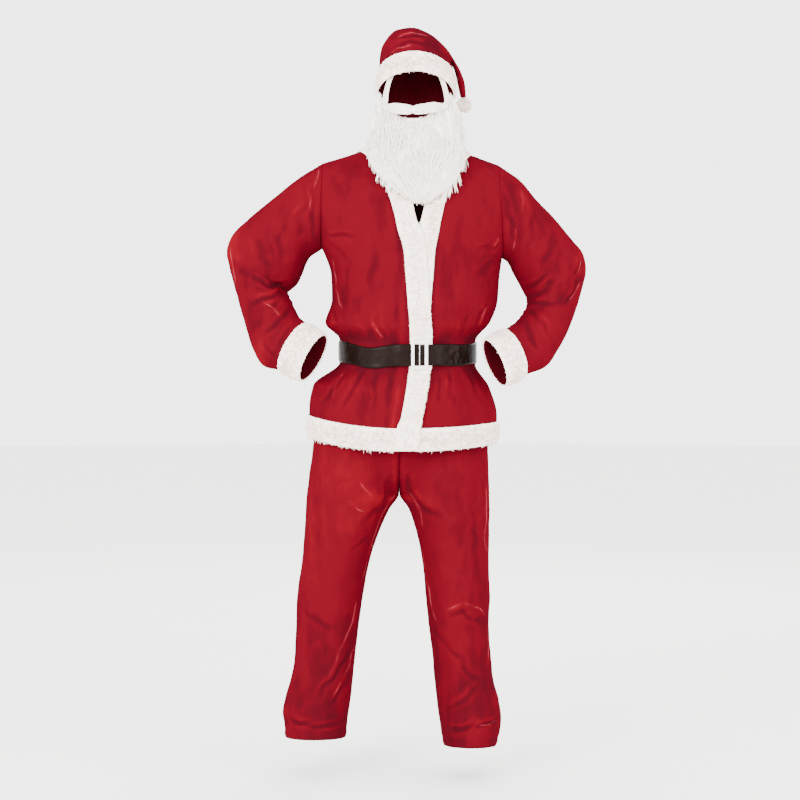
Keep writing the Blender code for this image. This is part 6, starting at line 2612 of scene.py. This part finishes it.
    def sprays(self, draw: np.random.Generator) -> Pair:
        """The jagged points of hair that stick out of the beard's lower sides, each of a few locks.

        Args:
            draw: Random numbers.

        Returns:
            The points and the triangles.
        """
        t = np.linspace(0, 1, self.steps)[None, :]
        rows, hands = np.meshgrid(np.linspace(0.46, 0.93, self.side_points), (-1, 1), indexing="ij")
        row = np.repeat(rows.ravel() + draw.normal(size=rows.size) * 0.012, 4)
        hand, wild = np.repeat(hands.ravel(), 4), draw.normal(size=(row.size, 3))
        at, out, depth = self.skin(row, hand * (0.90 + 0.03 * wild[:, 0]))
        length = np.repeat(draw.uniform(0.020, 0.040, rows.size), 4) * draw.uniform(0.75, 1.0, row.size)
        spray = np.repeat(draw.uniform(0.15, 0.55, rows.size), 4) * (1.05 - row)
        way = unit(points(hand * spray, -0.04, -0.85) + 0.07 * wild)
        path = (at + out * (depth * 0.55)[:, None])[:, None] + way[:, None] * (length[:, None] * t)[..., None]
        path = path + points(hand[:, None] * 0.004 * np.sin(t * 3.0 + wild[:, 1:2]) * t, 0, 0)
        sides = outwards(hair_locks(path, out, 0.0018 * draw.uniform(0.6, 1.2, row.size)))
        count = self.low_points
        at, out, _ = self.skin(draw.uniform(0.96, 1.02, count), draw.uniform(-0.7, 0.6, count))
        way = unit(points(0.25 * draw.normal(size=count), -0.10, -0.9))
        reach = draw.uniform(0.006, 0.016, count)[:, None] * t
        path = (at + out * 0.0035)[:, None] + way[:, None] * reach[..., None]
        low = outwards(hair_locks(path, out, np.full(count, 0.0012)))
        return np.concatenate([sides[0], low[0]]), np.concatenate([sides[1], low[1] + len(sides[0])])

    @staticmethod
    def round_moustache(share: Array, turn: Array, size: Array | float) -> Array:
        """Points round the moustache.

        Args:
            share: From the wearer's right end, 0, to the left end, 1.
            turn: Radians round it, from the top over the front.
            size: The share of its full section.

        Returns:
            The points.
        """
        row = MOUSTACHE.at(share)
        back, up = size * row.half_depth * np.sin(turn), size * row.half_height * np.cos(turn)
        return points(row.x, row.y - back, row.z + up)

    def make_moustache(self) -> Piece:
        """The moustache: combed from the middle to both ends.

        Returns:
            The moustache.
        """
        draw = random_for(8)
        rows, sides = self.moustache_rows, self.moustache_sides
        turns = np.arange(sides) * 2 * np.pi / sides
        shares, turns = np.meshgrid(np.linspace(0, 1, rows), turns, indexing="ij")
        ring = self.round_moustache(shares, turns, 0.72)
        verts = np.concatenate([ring.reshape(-1, 3), ring[0].mean(0)[None], ring[-1].mean(0)[None]])
        first, last = numbers(rows, sides, True)[[0, -1]]
        first_end = np.stack([first[1:], first[:-1], np.full(sides, rows * sides)], -1)
        last_end = np.stack([last[:-1], last[1:], np.full(sides, rows * sides + 1)], -1)
        triangles = np.concatenate([halved(quads(rows, sides, True)), first_end, last_end])
        body = outwards((verts, triangles))
        count = self.moustache_locks
        hand = np.where(draw.uniform(size=count) < 0.5, -1, 1)
        begin = draw.uniform(0.0, 0.62, count)
        t = np.linspace(0, 1, self.steps)[None, :]
        reach = draw.uniform(0.22, 0.42, count)[:, None]
        out_share = np.clip(begin[:, None] + reach * t, 0, 1.0)
        share = 0.48 + hand[:, None] * 0.5 * out_share
        turn = draw.uniform(-0.45, np.pi + 0.35, count)[:, None] + 0.35 * np.sin(t * 5 + 6 * begin[:, None])
        turn = turn + 0.25 * t * np.where(draw.uniform(size=count) < 0.5, -1, 1)[:, None]
        size = 0.74 + 0.30 * np.sin(np.pi * np.clip(t, 0.05, 0.95)) * draw.uniform(0.6, 1.1, count)[:, None]
        at = self.round_moustache(share, turn, size)
        beyond = np.maximum(begin[:, None] + reach * t - 0.86, 0) * 0.085
        rise = beyond * draw.uniform(-0.5, 0.9, count)[:, None]
        at = at + points(hand[:, None] * beyond, beyond * 1.25, rise)
        out = unit(points(0 * turn, -np.sin(turn), np.cos(turn)))
        wide = 0.0011 * draw.uniform(0.6, 1.3, count)
        parts = [body, outwards(hair_locks(at, out, wide))]
        return triangle_object("hair_moustache", parts, Finish.WHITE_HAIR)

    def make_whisker(self, side: Side) -> Piece:
        """One whisker, from under the hat down to the moustache's end.

        Args:
            side: Which whisker.

        Returns:
            The whisker.
        """
        draw = random_for(9 if side is Side.RIGHT else 10)
        table, hand = WHISKERS[side], side.value
        down, over = np.linspace(0, 1, self.whisker_rows), np.linspace(-1, 1, self.whisker_columns)
        shares, step = np.meshgrid(down, over, indexing="ij")

        def face(share: Array, step: Array) -> Array:
            """Points on the whisker's inner side.

            Args:
                share: From its top, 0, to its lower end, 1.
                step: From -1 to 1 across it.

            Returns:
                The points.
            """
            row = table.at(share)
            across = step * row.half_width * 0.68
            return points(
                hand * (row.x + 0.0022 * np.sin(np.pi * np.clip(share, 0, 1)) + across * 0.75),
                row.y + np.abs(across) * 0.1 + across * 0.66,
                row.z + step * row.tilt,
            )

        out = unit(np.array([hand * 0.66, -0.75, 0.0]))
        inner = face(shares, step)
        round_off = 0.0042 * np.cos(step * 1.3)
        pad = outwards(shell(inner + out * round_off[..., None], inner, False))
        count = self.whisker_locks
        t = np.linspace(0, 1, self.steps)[None, :]
        begin = draw.uniform(-0.02, 0.78, count)[:, None]
        share = np.clip(begin + draw.uniform(0.25, 0.5, count)[:, None] * t, 0, 1.04)
        place = draw.uniform(-1, 1, count)[:, None]
        place = place + 0.25 * np.sin(t * 6 + 5 * begin) + 0.2 * t * draw.normal(size=(count, 1))
        at = face(share, np.clip(place, -1.25, 1.25))
        lift = 0.0040 * np.cos(np.clip(place, -1.1, 1.1) * 1.2) + 0.0022 * np.sin(np.pi * t)
        lift = lift * draw.uniform(0.7, 1.2, count)[:, None]
        wide = 0.0009 * draw.uniform(0.6, 1.3, count)
        strands = hair_locks(at + out * lift[..., None], np.broadcast_to(out, (count, 3)), wide)
        parts = [pad, outwards(strands)]
        return triangle_object(f"hair_whisker_{side.word}", parts, Finish.WHITE_HAIR)

    def dress(self) -> None:
        """Hides the CAD parts that the beard, moustache and whiskers stand for and hangs them on the root."""
        settle(self.beard, Finish.WHITE_HAIR, "beard")
        settle(self.moustache, Finish.WHITE_HAIR, "moustache")
        for side, piece in self.whiskers.items():
            settle(piece, Finish.WHITE_HAIR, f"whisker_{side.word}")


@dataclass
class Studio:
    """The camera, soft lights and a pale floor."""

    camera_at: tuple[float, float, float] = (-0.039, -5.0, -0.418)
    camera_tilt: float = 2.1
    lens: float = 92.16
    floor_reach: float = 14.0
    sky: float = 4.1

    def build(self) -> None:
        """Makes the camera, the lights, the world and the floor."""
        self.add_camera()
        self.add_floor()
        self.add_light("key", (-3.0, -4.2, 1.2), 2.4, 500.0)
        self.add_light("fill", (3.4, -2.4, 0.4), 2.6, 150.0)
        self.add_light("back", (0.8, 3.8, 1.6), 3.0, 160.0)
        world = bpy.data.worlds.new("soft white room")
        world.use_nodes = True
        background = world.node_tree.nodes["Background"]
        background.inputs["Color"].default_value = (1, 1, 1, 1)
        background.inputs["Strength"].default_value = self.sky
        bpy.context.scene.world = world

    def add_camera(self) -> None:
        """The camera, level with the wearer's waist and tilted slightly down."""
        data = bpy.data.cameras.new("camera")
        data.lens, data.sensor_width = self.lens, 36.0
        camera = bpy.data.objects.new("camera", data)
        camera.location = self.camera_at
        camera.rotation_euler = (math.radians(90 - self.camera_tilt), 0, 0)
        bpy.context.scene.collection.objects.link(camera)
        bpy.context.scene.camera = camera

    def add_light(self, name: str, place: tuple[float, float, float], size: float, power: float) -> None:
        """A square soft light that looks at the suit's middle.

        Args:
            name: Its name.
            place: Where it stands.
            size: Its side in metres.
            power: Its power in watts.
        """
        data = bpy.data.lights.new(name, "AREA")
        data.size, data.energy = size, power
        light = bpy.data.objects.new(name, data)
        light.location = place
        aim = Vector((0, 0, -0.6)) - Vector(place)
        light.rotation_euler = aim.to_track_quat("-Z", "Y").to_euler()
        bpy.context.scene.collection.objects.link(light)

    def add_floor(self) -> None:
        """The floor that the wearer would stand on."""
        select_only()
        reach = self.floor_reach
        bpy.ops.mesh.primitive_circle_add(vertices=96, radius=reach, fill_type="NGON", location=(0, 0, 0))
        floor = bpy.context.object
        floor.name = "floor"
        floor.location = (0, 0, FLOOR_Z)
        floor.data.materials.append(PaintedFloor().make())


def main() -> None:
    """Builds the studio and then each sub-assembly of the suit."""
    logging.basicConfig(level=logging.INFO, format="%(name)s: %(message)s")
    Studio().build()
    suit = (
        Jacket(),
        Sleeve(Side.RIGHT, SLEEVE_CREASES[Side.RIGHT], SLEEVE_RUBS_AND_HIGHLIGHTS[Side.RIGHT]),
        Sleeve(Side.LEFT, SLEEVE_CREASES[Side.LEFT], SLEEVE_RUBS_AND_HIGHLIGHTS[Side.LEFT]),
        Trousers(TROUSER_CREASES, TROUSER_RUBS_AND_HIGHLIGHTS, {Side.RIGHT: 1.430, Side.LEFT: 1.450}),
        Belt(),
        Hat(HAT_CREASES, HAT_RUBS_AND_HIGHLIGHTS),
        Beard(),
    )
    for part in suit:
        part.build()
        part.dress()


if __name__ == "__main__":
    main()
